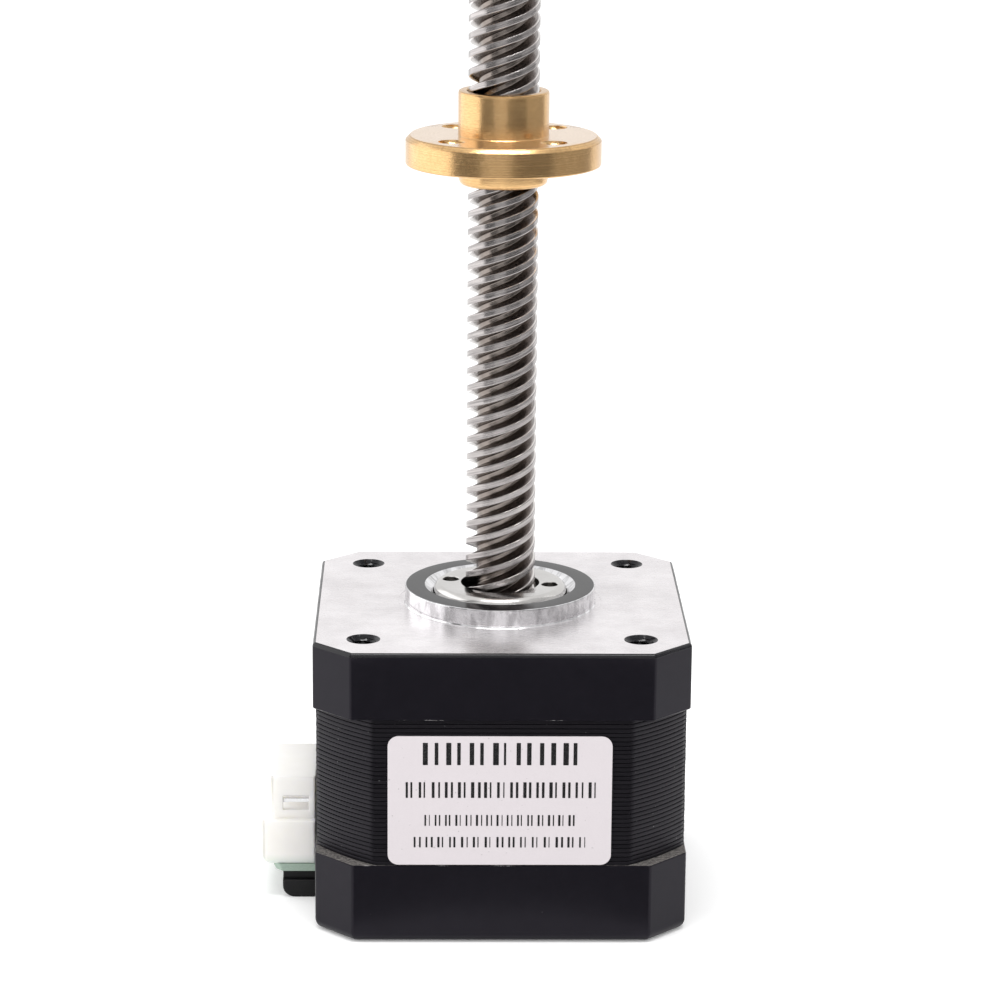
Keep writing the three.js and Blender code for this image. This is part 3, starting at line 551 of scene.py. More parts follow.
def milky_nylon():
    """White nylon that lets some light in, with painted shade along its thin upright corners and a painted
    green reflection of the board near its foot.
    """
    g = Graph("milky_nylon")
    flow = g.noise(0.5, 3.0, 0.5)
    color = g.mix(flow, (0.88, 0.855, 0.82), (0.94, 0.92, 0.89))
    ends = g.math("ABSOLUTE", g.y)
    # painted shade: greyer strips along the header's thin upright outer corners
    base_edge_shade = g.times(g.fade(g.x, HEADER_LOW[0] + 0.4, HEADER_LOW[0] + 0.2),
                         g.fade(ends, HEADER_HIGH[1] - 0.5, HEADER_HIGH[1] - 0.25))
    upper = g.fade(g.z, HEADER_LEDGE, HEADER_LEDGE + 0.1)
    shroud_edge_shade = g.times(g.fade(g.x, SHROUD_TOP_X + 0.45, SHROUD_TOP_X + 0.25),
                           g.fade(ends, SHROUD_HALF_LENGTH - 0.5, SHROUD_HALF_LENGTH - 0.25))
    corner = g.math("MAXIMUM", base_edge_shade, g.times(shroud_edge_shade, upper))
    color = g.mix(g.times(corner, 0.6), color, (0.42, 0.4, 0.37))
    # painted reflection: the green board's colour bled onto the nylon near its foot
    foot = g.fade(g.z, HEADER_LOW[2] + 1.2, HEADER_LOW[2])
    color = g.mix(g.times(foot, 0.45), color, (0.5, 0.66, 0.55))
    roughness = g.blend(g.noise(3.0), 0.32, 0.45)
    return g.surface(color, roughness, scatter=0.6, scatter_radius=(1.0, 1.0, 0.85),
                     scatter_scale=0.0014, specular=0.5, normal=g.bump(g.noise(5.0), 0.1, 0.02))


def board_laminate():
    g = Graph("board_laminate")
    weave = g.noise(1.0, 3.0, 0.6, g.stretched(5.0, 5.0, 14.0))
    color = g.mix(weave, (0.2, 0.31, 0.23), (0.42, 0.5, 0.44))
    return g.surface(color, 0.42, specular=0.5, normal=g.bump(weave, 0.3, 0.03))


def black_moulding(name):
    g = Graph(name)
    grain = g.noise(7.0, 4.0, 0.6)
    color = g.mix(grain, (0.006, 0.006, 0.0065), (0.011, 0.011, 0.012))
    roughness = g.blend(g.noise(1.5), 0.38, 0.5)
    return g.surface(color, roughness, specular=0.18, normal=g.bump(grain, 0.2, 0.03))


def plated_metal(name, base, dark, roughness_low, roughness_high, scale=3.0):
    g = Graph(name)
    cloud = g.noise(scale, 4.0, 0.6)
    color = g.mix(cloud, base, dark)
    roughness = g.blend(g.noise(scale * 3), roughness_low, roughness_high)
    return g.surface(color, roughness, metallic=1.0, normal=g.bump(cloud, 0.12, 0.02))


def winding_wire():
    """Turns of enamelled wire lying side by side, seen as ribs by height."""
    g = Graph("winding_wire")
    ribs = g.math("ABSOLUTE", g.math("SINE", g.times(g.z, pi / 0.25)))
    cloud = g.noise(1.2, 3.0, 0.5)
    color = g.mix(cloud, (0.42, 0.12, 0.04), (0.62, 0.22, 0.07))
    return g.surface(color, 0.3, metallic=0.85, coat=0.4, normal=g.bump(ribs, 0.6, 0.06))


def sheet_steel(name, pitch):
    """Ground electrical steel with the fine lines of its sheets."""
    g = Graph(name)
    lines = g.math("ABSOLUTE", g.math("SINE", g.times(g.z, pi / pitch)))
    cloud = g.noise(1.1, 4.0, 0.6)
    color = g.mix(cloud, (0.2, 0.2, 0.21), (0.34, 0.33, 0.33))
    return g.surface(color, 0.38, metallic=1.0, normal=g.bump(lines, 0.4, 0.03))


# ---------- end caps ----------

def helical_hole(shell, centre, mouth, top, bottom, radius, depth, slot=0):
    """A threaded bore going down from a loop: its wall follows a fine right-hand thread."""
    layers = round((top - bottom) / M3_PITCH * 6)
    loops = [mouth]
    for layer in range(layers + 1):
        height = top + (bottom - top) * layer / layers
        outline = []
        for i in range(BORE):
            angle = TURN * i / BORE
            phase = (height / M3_PITCH - angle / TURN) % 1.0
            r = radius - depth * (1 - abs(2 * phase - 1))
            outline.append(polar(r, angle, centre))
        loops.append(shell.level(outline, height))
    shell.chain(loops, slot)
    return loops[-1]


def front_cap(materials):
    """The mounting flange: painted sides, a faced top with four threaded holes, and the pilot boss."""
    shell = Shell()
    bottom, top = FRONT_LOW[2], FRONT_HIGH[2]
    seat = 7.06
    seat_bottom = FRONT_RACE_LOW[2] - 0.05
    hub_bottom = seat_bottom - 0.75
    ceiling = FACE - 2.5
    sides = [(0.12, bottom), (0.0, bottom + 0.12), (0.0, FACE - ROLL)]
    straight = len(sides)
    for step in range(1, 9):
        angle = step / 8 * radians(78)
        sides.append((ROLL * (1 - cos(angle)), FACE - ROLL + ROLL * sin(angle)))
    sides.append((sides[-1][0] + 0.02, FACE))
    outside = [shell.level(chamfered_square(FRONT_HIGH[0], CHAMFER, inset), z) for inset, z in sides]
    shell.chain(outside[:straight], PAINT)
    shell.chain(outside[straight - 1:], ROLLED)
    ring_edge = shell.ring(PILOT_RADIUS + 0.75, FACE)
    mouths = [shell.ring(1.9, FACE, centre, BORE) for centre in hole_centres()]
    shell.face(outside[-1], [ring_edge, *mouths], slot=MACHINED)
    boss_foot = shell.ring(PILOT_RADIUS + 0.1, FACE - 0.05)
    ring_floor = shell.ring(PILOT_RADIUS + 0.7, FACE - 0.05)
    shell.chain([ring_edge, ring_floor, boss_foot], MACHINED)

    boss = [(PILOT_RADIUS, FACE + 0.1), *corner(PILOT_RADIUS, top, (0, -0.14), (-0.04, -0.04), (-0.14, 0))]
    boss = shell.turned(boss, TURNED, boss_foot)
    rim = shell.ring(8.7, top)
    shell.strip(boss[-1], rim, GLOSS)
    bore = [(8.62, top - 0.04), (7.95, top - 0.68), (7.78, top - 0.8), (7.76, FRONT_RACE_HIGH[2]),
            (seat, FRONT_RACE_HIGH[2]), (seat, seat_bottom), (seat - 1, seat_bottom), (seat - 1, hub_bottom)]
    bore = shell.turned(bore, TURNED, rim)
    under = shell.turned([(seat + 2.75, hub_bottom), (seat + 2.75, ceiling), (CAVITY_RADIUS, ceiling),
                          (CAVITY_RADIUS, bottom)], CAST, bore[-1])

    tips = []
    for centre, mouth in zip(hole_centres(), mouths):
        sunk = shell.ring(1.6, FACE - 0.3, centre, BORE)
        shell.strip(mouth, sunk, ROLLED)
        thread_end = helical_hole(shell, centre, sunk, FACE - 0.35, FACE - 4.4, 1.6, 0.27, ROLLED)
        wide = [(HOLE_RADIUS, FACE - 4.55), (HOLE_RADIUS, bottom)]
        tips.append(shell.turned(wide, CAST, thread_end, centre, BORE)[-1])
    shell.face(outside[0], [under[-1], *tips], up=False, slot=CAST)
    return shell.object("front_cap_casting", materials)


def rear_cap(materials):
    """The rear cap: a rounded foot, four counterbored screw ways, a bearing seat and the board's notch."""
    shell = Shell()
    half = REAR_HIGH[0]
    bottom, top = REAR_LOW[2], REAR_HIGH[2]
    rounding = 1.2
    sides = [(rounding * inwards, bottom + rounding * rise) for inwards, rise in rolled_foot(8)]
    sides += [(0.0, top - 0.1), (0.07, top)]
    outside = shell.walls([(chamfered_square(half, CHAMFER, inset, 0.6), z) for inset, z in sides], PAINT)
    mouths = [shell.ring(COUNTERBORE_RADIUS + 0.15, bottom, centre, BORE) for centre in hole_centres()]
    dimple = [shell.ring(8.4, bottom)]
    shell.face(outside[0], [dimple[0], *mouths], up=False, slot=PAINT)
    dimple += [shell.ring(8.2, bottom + 0.25), shell.ring(7.0, bottom + 0.25), shell.ring(6.8, bottom)]
    shell.chain(dimple[::-1], PAINT)
    shell.face(dimple[-1], up=False, slot=PAINT)

    cavity_rim = shell.ring(CAVITY_RADIUS, top)
    way = [(COUNTERBORE_RADIUS, bottom + 0.15), (COUNTERBORE_RADIUS, bottom + COUNTERBORE_DEPTH),
           (HOLE_RADIUS, bottom + COUNTERBORE_DEPTH), (HOLE_RADIUS, top)]
    ends = []
    for centre, mouth in zip(hole_centres(), mouths):
        rungs = [mouth] + [shell.ring(radius, z, centre, BORE) for radius, z in way]
        shell.chain(rungs[::-1], CAST)
        ends.append(rungs[-1])
    shell.face(outside[-1], [cavity_rim, *ends], slot=CAST)
    seat = 6.56
    seat_top = REAR_RACE_HIGH[2] + 0.2
    floor, seat_floor = 2.0, 1.5
    cavity = [(CAVITY_RADIUS, floor), (seat + 2.5, floor), (seat + 2.5, seat_top), (seat, seat_top),
              (seat, seat_floor)]
    cavity = shell.turned(cavity, CAST, cavity_rim)
    shell.face(cavity[-1], slot=CAST)
    cap = shell.object("rear_cap_casting", materials)
    reach = NOTCH_HALF_LENGTH
    subtract(cap, cutter(-half - 5, NOTCH_BACK, -reach, reach, bottom - 1, NOTCH_TOP))
    subtract(cap, cutter(-half - 5, NOTCH_BOARD_BACK, -reach, reach, NOTCH_SHELF, NOTCH_TOP))
    return cap


# ---------- stator stack ----------

def lamination_outline(inset, shift):
    half = STACK_HIGH[0] - inset
    radius = STACK_CORNER_RADIUS - inset
    start = acos(half / radius)
    points = []
    for quarter in range(4):
        for step in range(13):
            angle = quarter * TURN / 4 + start + (TURN / 4 - 2 * start) * step / 12
            points.append(polar(radius, angle, shift))
    return points


def lamination_bore():
    """The opening for the rotor and windings: eight toothed pole shoes on necks."""
    poles, teeth, pitch = 8, 6, radians(7.2)
    bore, slot_floor, shoe_back, back_iron, neck = 11.3, 11.8, 12.7, 17.3, 2.3
    shoe = radians(19)
    points = []

    def add(radius, angle):
        points.append(polar(radius, angle))

    for pole in range(poles):
        centre = pole * TURN / poles
        inner = asin(neck / shoe_back)
        outer = asin(neck / back_iron)
        for radius, angle in [(back_iron, -outer), (shoe_back, -inner), (shoe_back, -shoe),
                              (slot_floor, -shoe - radians(1))]:
            add(radius, centre + angle)
        for tooth in range(teeth):
            middle = centre + (tooth - (teeth - 1) / 2) * pitch
            for radius, side in [(slot_floor, -1), (bore, -1), (bore, 1), (slot_floor, 1)]:
                add(radius, middle + side * pitch / 4)
        for radius, angle in [(slot_floor, shoe + radians(1)), (shoe_back, shoe), (shoe_back, inner),
                              (back_iron, outer), (back_iron, TURN / poles / 2)]:
            add(radius, centre + angle)
    return points


def stator(material, inside):
    """The stack of thin sheets: each sheet's edge stands a hair proud of the gap below it."""
    shell = Shell()
    bottom, top = STACK_LOW[2], STACK_HIGH[2]
    thickness = (top - bottom) / LAMINATIONS
    gap, groove = 0.085, 0.16
    chance = random.Random(5)
    loops = []
    for sheet in range(LAMINATIONS):
        base = bottom + sheet * thickness
        shift = (chance.uniform(-0.012, 0.012), chance.uniform(-0.012, 0.012))
        own = chance.uniform(0.0, 0.02)
        for inset, z in [(groove, base), (own + 0.015, base + gap * 0.6), (own, base + gap),
                         (own, base + thickness - gap), (own + 0.015, base + thickness - gap * 0.6),
                         (groove, base + thickness - 0.002)]:
            loops.append(shell.level(lamination_outline(inset + 0.005, shift), z))
    shell.chain(loops, 0)
    bore = lamination_bore()
    openings = []
    for z in (bottom, top - 0.002):
        rims = [shell.level(bore, z)]
        rims += [shell.ring(HOLE_RADIUS, z, centre, BORE) for centre in hole_centres()]
        openings.append(rims)
    for low, high in zip(*openings):
        shell.strip(high, low, 1)
    shell.face(loops[0], openings[0], up=False, slot=1)
    shell.face(loops[-1], openings[1], slot=1)
    return shell.object("stator_laminations", [material, inside])


# ---------- lead screw and nut ----------

def lobe_phases():
    """Angles within one thread start, in degrees, close together at the corners of the profile."""
    crest, flank = HALF_CREST, FLANK
    half = [0, 5.5, 11, crest - 1.8, crest - 0.6, crest + 0.6, crest + 1.8, crest + 5.5, crest + flank - 5.5,
            crest + flank - 1.8, crest + flank - 0.4, crest + flank + 1.0, crest + flank + 3, 39.5]
    return sorted([-phase for phase in half[1:]] + half + [45.0])


def thread_radius(phase, crest_radius, root_radius, widen=0.0):
    """Radius of the trapezoidal thread at an angle from a crest, with its corners eased."""
    crest = HALF_CREST + widen
    ease = 1.6

    def sharp(angle):
        return min(max((abs(angle) - crest) / FLANK, 0.0), 1.0)

    fall = sum(sharp(phase + ease * offset) for offset in (-1, -0.5, 0, 0.5, 1)) / 5
    return crest_radius + (root_radius - crest_radius) * fall


def thread_section(crest_radius, root_radius, widen=0.0):
    """(angle, radius) of every point round the four-start section."""
    section = []
    for start in range(STARTS):
        for phase in lobe_phases():
            angle = radians(phase + start * 360 / STARTS)
            section.append((angle, thread_radius(phase, crest_radius, root_radius, widen)))
    return section


def helix_loop(shell, section, height, limit=None, floor=None):
    """One twisted layer of a thread, kept inside or outside a round limit."""
    turn = TURN * (height - THREAD_PHASE_HEIGHT) / LEAD
    points = []
    for angle, radius in section:
        r = radius if limit is None else min(radius, limit)
        r = r if floor is None else max(r, floor)
        points.append((*polar(r, angle + turn), height))
    return shell.loop(points)


def lead_screw(material, plain):
    """The screw with its thread, eased into a chamfer at the free end, and the journals below it."""
    shell = Shell()
    section = thread_section(MAJOR_RADIUS, MINOR_RADIUS)
    top = SCREW_HIGH[2]
    chamfer = 0.9
    step = LEAD / 60
    # (radius, height) up the shaft: rear bearing's seat, shoulder, rotor's seat, collar, front bearing's seat
    journal = [(2.15, SCREW_LOW[2]), (2.45, SCREW_LOW[2] + 0.3), (2.45, 6.25), (3.2, 6.25), (3.2, 9.2),
               (3.5, 9.2), (3.5, 26.95), (4.4, 26.95), (4.4, 28.15), (3.98, 28.15),
               (3.98, THREAD_BOTTOM - 0.5)]
    loops = shell.walls([([polar(radius, angle) for angle, _ in section], z) for radius, z in journal], 1)
    shell.face(loops[0], up=False, slot=1)
    height = THREAD_BOTTOM - 0.4
    thread = [loops[-1]]
    while height < top - 1e-6:
        limit = min(MAJOR_RADIUS, MAJOR_RADIUS - (height - (top - chamfer)))
        floor = 3.98 - max(0.0, height - (THREAD_BOTTOM - 0.4)) * 2.2
        thread.append(helix_loop(shell, section, height, limit, floor if floor > MINOR_RADIUS else None))
        height += step
    thread.append(helix_loop(shell, section, top, MAJOR_RADIUS - chamfer))
    shell.chain(thread, 0)
    shell.face(thread[-1], slot=0)
    return shell.object("lead_screw_thread", [material, plain], smooth_angle=50)


def lead_nut(materials):
    """The turned brass nut: lower boss, flange with four threaded holes, hub, and the internal thread."""
    shell = Shell()
    bottom, top = NUT_LOW[2], NUT_HIGH[2]
    flange_bottom = bottom + NUT_LOWER_BOSS
    flange_top = flange_bottom + NUT_FLANGE_THICKNESS
    boss, hub, flange = 5.0, 5.1, NUT_HIGH[0]
    clearance = 0.12

    lower = corner(boss, bottom, (-0.62, 0), (-0.3, 0.08), (-0.08, 0.3), (0, 0.6))
    lower += corner(boss, flange_bottom, (0, -0.05), (0.05, 0))
    walls = shell.turned(lower)
    side = corner(flange, flange_bottom, (-0.2, 0), (-0.06, 0.05), (0, 0.2))
    side += corner(flange, flange_top, (0, -0.56), (-0.04, -0.5), (-0.5, -0.04), (-0.56, 0))
    rim = shell.turned(side)
    neck = corner(hub, flange_top, (0.06, 0), (0, 0.06))
    neck += corner(hub, top, (0, -0.3), (-0.05, -0.1), (-0.16, -0.02), (-0.26, 0))
    hub_loops = shell.turned(neck)
    upper_mouths = []
    lower_mouths = []
    for quarter in range(4):
        angle = NUT_HOLE_TURN + quarter * TURN / 4
        centre = polar(NUT_HOLE_CIRCLE, angle)
        mouth = shell.ring(1.5, flange_top, centre, BORE)
        sunk = shell.ring(1.44, flange_top - 0.1, centre, BORE)
        shell.strip(mouth, sunk)
        end = helical_hole(shell, centre, sunk, flange_top - 0.16, flange_bottom + 0.16, 1.44, 0.24)
        below = shell.turned([(1.44, flange_bottom + 0.1), (1.5, flange_bottom)], 0, end, centre, BORE)
        upper_mouths.append(mouth)
        lower_mouths.append(below[-1])
    shell.face(rim[0], [walls[-1], *lower_mouths], up=False, slot=1)
    shell.face(rim[-1], [hub_loops[0], *upper_mouths], slot=1)

    section = thread_section(MAJOR_RADIUS + clearance, MINOR_RADIUS + clearance, widen=2.5)
    layers = 84
    mouth = 0.42
    threads = []
    for layer in range(layers + 1):
        height = top - (top - bottom) * layer / layers
        opened = max(0.0, mouth - (top - height), mouth - (height - bottom))
        floor = MAJOR_RADIUS + clearance - mouth + opened * 1.25 if opened else None
        threads.append(helix_loop(shell, section, height, None, floor))
    shell.chain(threads)
    shell.face(hub_loops[-1], [threads[0]])
    shell.face(walls[0], [threads[-1]], up=False)
    return shell.object("flange_nut", materials, smooth_angle=38)


# ---------- lock ring and tie screws ----------

def lock_ring(material):
    """The bright ring that holds the front bearing: a coned rim and two blind spanner holes."""
    shell = Shell()
    bottom, top = RING_LOW[2], RING_HIGH[2]
    outside, bore = 7.65, 4.5
    rim = corner(outside, top, (0, -0.62), (-0.12, -0.4), (-0.42, -0.12), (-0.62, -0.02), (-0.75, 0))
    loops = shell.turned([(outside, bottom), *rim])
    bores = shell.turned([*corner(bore, top, (0.18, 0), (0.04, -0.05), (0, -0.2)), (bore, bottom)])
    mouths = []
    for side in (0, pi):
        centre = polar(SPANNER_HOLE_CIRCLE, SPANNER_HOLE_TURN + side)
        drilled = shell.turned([(1.0, top), (0.95, top - 0.06), (0.95, top - 1.9), (0.05, top - 2.3)],
                               centre=centre, count=BORE)
        shell.face(drilled[-1])
        mouths.append(drilled[0])
    shell.face(loops[-1], [bores[0], *mouths])
    shell.strip(bores[-1], loops[0])
    return shell.object("bearing_lock_ring", [material])


def cross_outline(reach, half, centre):
    """A plus-shaped outline for a screw's driver recess."""
    arm = [(reach, -half), (reach, half), (half, half)]
    corners = arm + [(-y, x) for x, y in arm] + [(-x, -y) for x, y in arm] + [(y, -x) for x, y in arm]
    return [(x + centre[0], y + centre[1]) for x, y in fillet(corners, 0.12, 3)]


def tie_screw(number, centre, material):
    """A cheese-head screw seen from below, with a cross recess and a cut thread at its end."""
    shell = Shell()
    head_bottom = TIE_LOW[2]
    head_top = head_bottom + 2.0
    end = TIE_HIGH[2]
    count = 48
    rim = corner(2.75, head_bottom, (-0.4, 0), (-0.17, 0.08), (-0.05, 0.25), (0, 0.5))
    rim += [(2.75, head_top - 0.08), (2.67, head_top), (1.5, head_top), (1.5, end - 9)]
    loops = shell.turned(rim, centre=centre, count=count)
    ridges = []
    pitch, height = 0.5, end - 9
    while height < end - 0.5:
        for radius, rise in [(1.27, 0.25), (1.5, 0.5)]:
            ridges.append((radius, height + rise * pitch * 2))
        height += pitch
    tip = shell.turned([*ridges, (1.1, end)], 0, loops[-1], centre, count)[-1]
    shell.face(tip)
    recess = []
    for reach, half, depth in [(1.5, 0.42, 0.0), (1.42, 0.38, 0.1), (1.0, 0.3, 1.1)]:
        recess.append(shell.level(cross_outline(reach, half, centre), head_bottom + depth))
    shell.chain(recess[::-1])
    shell.face(loops[0], [recess[0]], up=False)
    shell.face(recess[-1], up=False)
    return shell.object(f"tie_screw_{number}_body", [material])


# ---------- connector ----------

def pin_places():
    return [sum(corner[1] for corner in box_mm(f"connector_pin_{number}")) / 2 for number in range(1, 7)]


def tail_hole(half, y):
    return rounded_box(PIN_TAIL_X - half, PIN_TAIL_X + half, y - half, y + half, 0.08, 2)


def connector_board(material):
    """The green board, with its outer edge broken away at a slant and a plated way for each pin."""
    shell = Shell()
    low, high = BOARD_LOW, BOARD_HIGH
    corners = [(low[0], low[1] + 0.8), (low[0] + 0.8, low[1]), (high[0], low[1]), (high[0], high[1]),
               (low[0] + 0.8, high[1]), (low[0], high[1] - 0.8)]
    layers = []
    for inset, slant, z in [(0.03, 0.42, low[2]), (0.0, 0.34, low[2] + 0.1), (0.0, 0.1, high[2] - 0.2),
                            (0.03, 0.0, high[2])]:
        moved = []
        for x, y in corners:
            inwards = slant if x < HEADER_HIGH[0] else -inset
            moved.append((x + inwards, y + (inset if y < 0 else -inset)))
        layers.append((fillet(moved, 0.4, 4), z))
    walls = shell.walls(layers)
    ways = [shell.walls([(tail_hole(0.4, y), high[2]), (tail_hole(0.4, y), low[2])]) for y in pin_places()]
    shell.face(walls[0], [way[1] for way in ways], up=False)
    shell.face(walls[-1], [way[0] for way in ways])
    return shell.object("circuit_board", [material])


def stepped_block(shell, low, high, profile):
    """Walls of a block against the motor's side, from (lowest x, end inset, height) rungs."""
    layers = [(rounded_box(x, high[0], low[1] + end, high[1] - end, 0.25), z) for x, end, z in profile]
    return shell.walls(layers)


def header_shroud_walls():
    """(lowest x, end inset, height) up the header: rolled foot, wide base, ledge, and flared shroud."""
    low, high = HEADER_LOW, HEADER_HIGH
    walls = [(low[0] + inwards, 0.3 * inwards, low[2] + rise) for inwards, rise in rolled_foot()]
    ledge = HEADER_LEDGE
    shroud = high[1] - SHROUD_HALF_LENGTH
    walls += [(low[0], 0.0, ledge - 0.1), (low[0] + 0.03, 0.03, ledge - 0.03), (low[0] + 0.1, 0.1, ledge),
              (SHROUD_FOOT_X - 0.06, shroud - 0.06, ledge), (SHROUD_FOOT_X, shroud, ledge + 0.06),
              (SHROUD_TOP_X, shroud, high[2] - 0.16), (SHROUD_TOP_X + 0.05, shroud + 0.05, high[2] - 0.05),
              (SHROUD_TOP_X + 0.16, shroud + 0.16, high[2])]
    return walls


def connector_header(material):
    """The white header: a wide base on the board, and a narrower shroud above it, open outwards."""
    shell = Shell()
    loops = stepped_block(shell, HEADER_LOW, HEADER_HIGH, header_shroud_walls())
    shell.face(loops[0], up=False)
    shell.face(loops[-1])
    header = shell.object("header_housing", [material])
    top = HEADER_HIGH[2]
    reach = SHROUD_HALF_LENGTH - SOCKET_WALL
    subtract(header, cutter(SHROUD_TOP_X - 1, SOCKET_BACK, -reach, reach, SOCKET_FLOOR, top - SOCKET_WALL))
    middle, width = -23.55, 3.0
    end = HEADER_HIGH[1] + 1
    subtract(header, cutter(middle - width / 2, middle + width / 2, -end, end, 10.4, 12.15))
    way = PIN_HALF + 0.08
    for y in pin_places():
        beside = (y - way, y + way)
        over = PIN_HEIGHT + way
        subtract(header, cutter(PIN_TAIL_X - way, HEADER_HIGH[0] + 1, *beside, HEADER_LOW[2] - 1, over))
        subtract(header, cutter(SOCKET_BACK - 0.5, PIN_TAIL_X, *beside, PIN_HEIGHT - way, over))
    return header


def pin_section(half):
    return rounded_box(-half, half, -half, half, half * 0.25, 2)


def connector_pin(number, y, material):
    """A square pin bent through a right angle, with a tapered contact and a tapered tail."""
    shell = Shell()
    bend = 0.35
    path = [(PIN_LOW[0], 0.35), (PIN_LOW[0] + 0.3, 0.9), (PIN_LOW[0] + 0.6, 1.0)]
    spine = [(x, PIN_HEIGHT, 0.0, size) for x, size in path]
    centre_x, centre_z = PIN_TAIL_X - bend, PIN_HEIGHT - bend
    for step in range(7):
        angle = pi / 2 * step / 6
        spine.append((centre_x + bend * sin(angle), centre_z + bend * cos(angle), angle, 1.0))
    spine += [(PIN_TAIL_X, PIN_LOW[2] + 0.4, pi / 2, 1.0), (PIN_TAIL_X, PIN_LOW[2], pi / 2, 0.5)]
    rings = []
    for x, z, angle, size in spine:
        ring = []
        for across, out in pin_section(PIN_HALF * size):
            ring.append((x + out * sin(angle), y + across, z + out * cos(angle)))
        rings.append(shell.loop(ring))
    shell.chain(rings)
    shell.faces.append(tuple(reversed(rings[0])))
    shell.faces.append(tuple(rings[-1]))
    shell.slots += [0, 0]
    return shell.object(f"header_pin_{number}", [material])


def connector_support(material):
    """The black block under the board, with a rolled lower edge and a pocket for the pins' tails."""
    shell = Shell()
    low, high = SUPPORT_LOW, SUPPORT_HIGH
    roll = 1.3
    rungs = [(low[0] + roll * inwards, 0.12 * inwards, low[2] + roll * rise)
             for inwards, rise in rolled_foot()]
    setback = 0.6
    rungs += [(low[0], 0.0, 2.04), (low[0] + 0.02, 0.06, 2.1), (low[0] + 0.02, setback, 2.12),
              (low[0] + 0.02, setback, high[2] - 0.05), (low[0] + 0.07, setback + 0.05, high[2])]
    loops = stepped_block(shell, low, high, rungs)
    reach = high[1] - setback - 0.6
    outline = rounded_box(PIN_TAIL_X - 0.7, PIN_TAIL_X + 0.7, -reach, reach, 0.2)
    pocket = shell.walls([(outline, high[2]), (outline, 2.1)])
    shell.face(pocket[-1])
    shell.face(loops[-1], [pocket[0]])
    shell.face(loops[0], up=False)
    return shell.object("header_support", [material])


# ---------- label ----------

def upright(shell, front):
    """Stands a shell that was made level up on the front face: its height becomes depth."""
    shell.points = [(x, front - z, y) for x, y, z in shell.points]
    return shell


def label(material):
    shell = Shell()
    back = LABEL_HIGH[1]
    thickness = LABEL_HIGH[1] - LABEL_LOW[1]
    outline = rounded_box(LABEL_LOW[0], LABEL_HIGH[0], LABEL_LOW[2], LABEL_HIGH[2], 1.2, 8)
    shell.plate(outline, 0.0, thickness)
    return upright(shell, back).object("rating_label", [material])


def label_print(material):
    """Four rows of plain upright strokes in place of the label's words."""
    shell = Shell()
    chance = random.Random(11)
    # left and right ends and top and bottom of each row from the label's top left, its marks and their weight
    rows = [(3.9, 22.1, 0.75, 3.35, 7, 0.62), (2.0, 23.8, 5.35, 7.2, 15, 0.34),
            (4.1, 21.3, 9.2, 10.5, 15, 0.24), (2.9, 22.7, 11.8, 13.05, 15, 0.26)]
    for left, right, top, bottom, marks, weight in rows:
        pitch = (right - left) / marks
        for mark in range(marks):
            start = LABEL_LOW[0] + left + mark * pitch
            first = weight * chance.uniform(0.75, 1.1)
            second = weight * chance.uniform(0.35, 0.9)
            gap = pitch * chance.uniform(0.18, 0.3)
            for x, width in [(start, first), (start + first + gap, second)]:
                low, high = LABEL_HIGH[2] - bottom, LABEL_HIGH[2] - top
                shell.plate(rounded_box(x, x + width, low, high, 0.05, 2), 0.0, 0.012)
    return upright(shell, LABEL_LOW[1]).object("label_print", [material])


# ---------- camera, light and floor ----------

def look(place, target, roll=0.0):
    """World matrix that stands at a place and looks at a target."""
    forward = (Vector(target) - Vector(place)).normalized()
    right = forward.cross(Vector((0, 0, 1))).normalized()
    up = right.cross(forward)
    across = right * cos(roll) + up * sin(roll)
    over = up * cos(roll) - right * sin(roll)
    matrix = Matrix((across, over, -forward)).transposed().to_4x4()
    matrix.translation = Vector(place)
    return matrix


def camera():
    data = bpy.data.cameras.new("camera")
    data.sensor_width = 36.0
    data.lens = 125.5
    data.clip_start = 0.01
    data.clip_end = 50.0
    obj = bpy.data.objects.new("camera", data)
    yaw, pitch = radians(1.1037), radians(-14.7645)
    place = Vector((-0.00755, -0.38762, 0.14817))
    forward = Vector((sin(yaw) * cos(pitch), cos(yaw) * cos(pitch), sin(pitch)))
    obj.matrix_world = look(place, place + forward, radians(0.4555))
    bpy.context.collection.objects.link(obj)
    bpy.context.scene.camera = obj


def softbox(name, place, target, size, brightness):
    """A soft panel light, lit by its brightness as seen, which the camera itself doesn't see."""
    data = bpy.data.lights.new(name, "AREA")
    data.shape = "RECTANGLE"
    data.size, data.size_y = size
    data.energy = brightness * pi * size[0] * size[1]
    obj = bpy.data.objects.new(name, data)
    obj.matrix_world = look(place, target)
    bpy.context.collection.objects.link(obj)
    obj.visible_camera = False


def plain_material(name, tone, glow=0.0):
    """A matt neutral for the studio, with a little light of its own if wanted."""
    material = bpy.data.materials.new(name)
    material.use_nodes = True
    shader = material.node_tree.nodes["Principled BSDF"]
    shader.inputs["Base Color"].default_value = (tone, tone, tone, 1.0)
    shader.inputs["Roughness"].default_value = 1.0
    shader.inputs["Specular IOR Level"].default_value = 0.0
    shader.inputs["Emission Color"].default_value = WHITE
    shader.inputs["Emission Strength"].default_value = glow
    return material


def stage_mesh(name, points, faces, material):
    mesh = bpy.data.meshes.new(name)
    mesh.from_pydata(points, [], faces)
    mesh.materials.append(material)
    obj = bpy.data.objects.new(name, mesh)
    bpy.context.collection.objects.link(obj)
    return obj


def floor():
    reach = 30.0
    corners = [(-reach, -reach, 0), (reach, -reach, 0), (reach, reach, 0), (-reach, reach, 0)]
    stage_mesh("floor", corners, [(0, 1, 2, 3)], plain_material("floor_white", 0.97, glow=0.12))


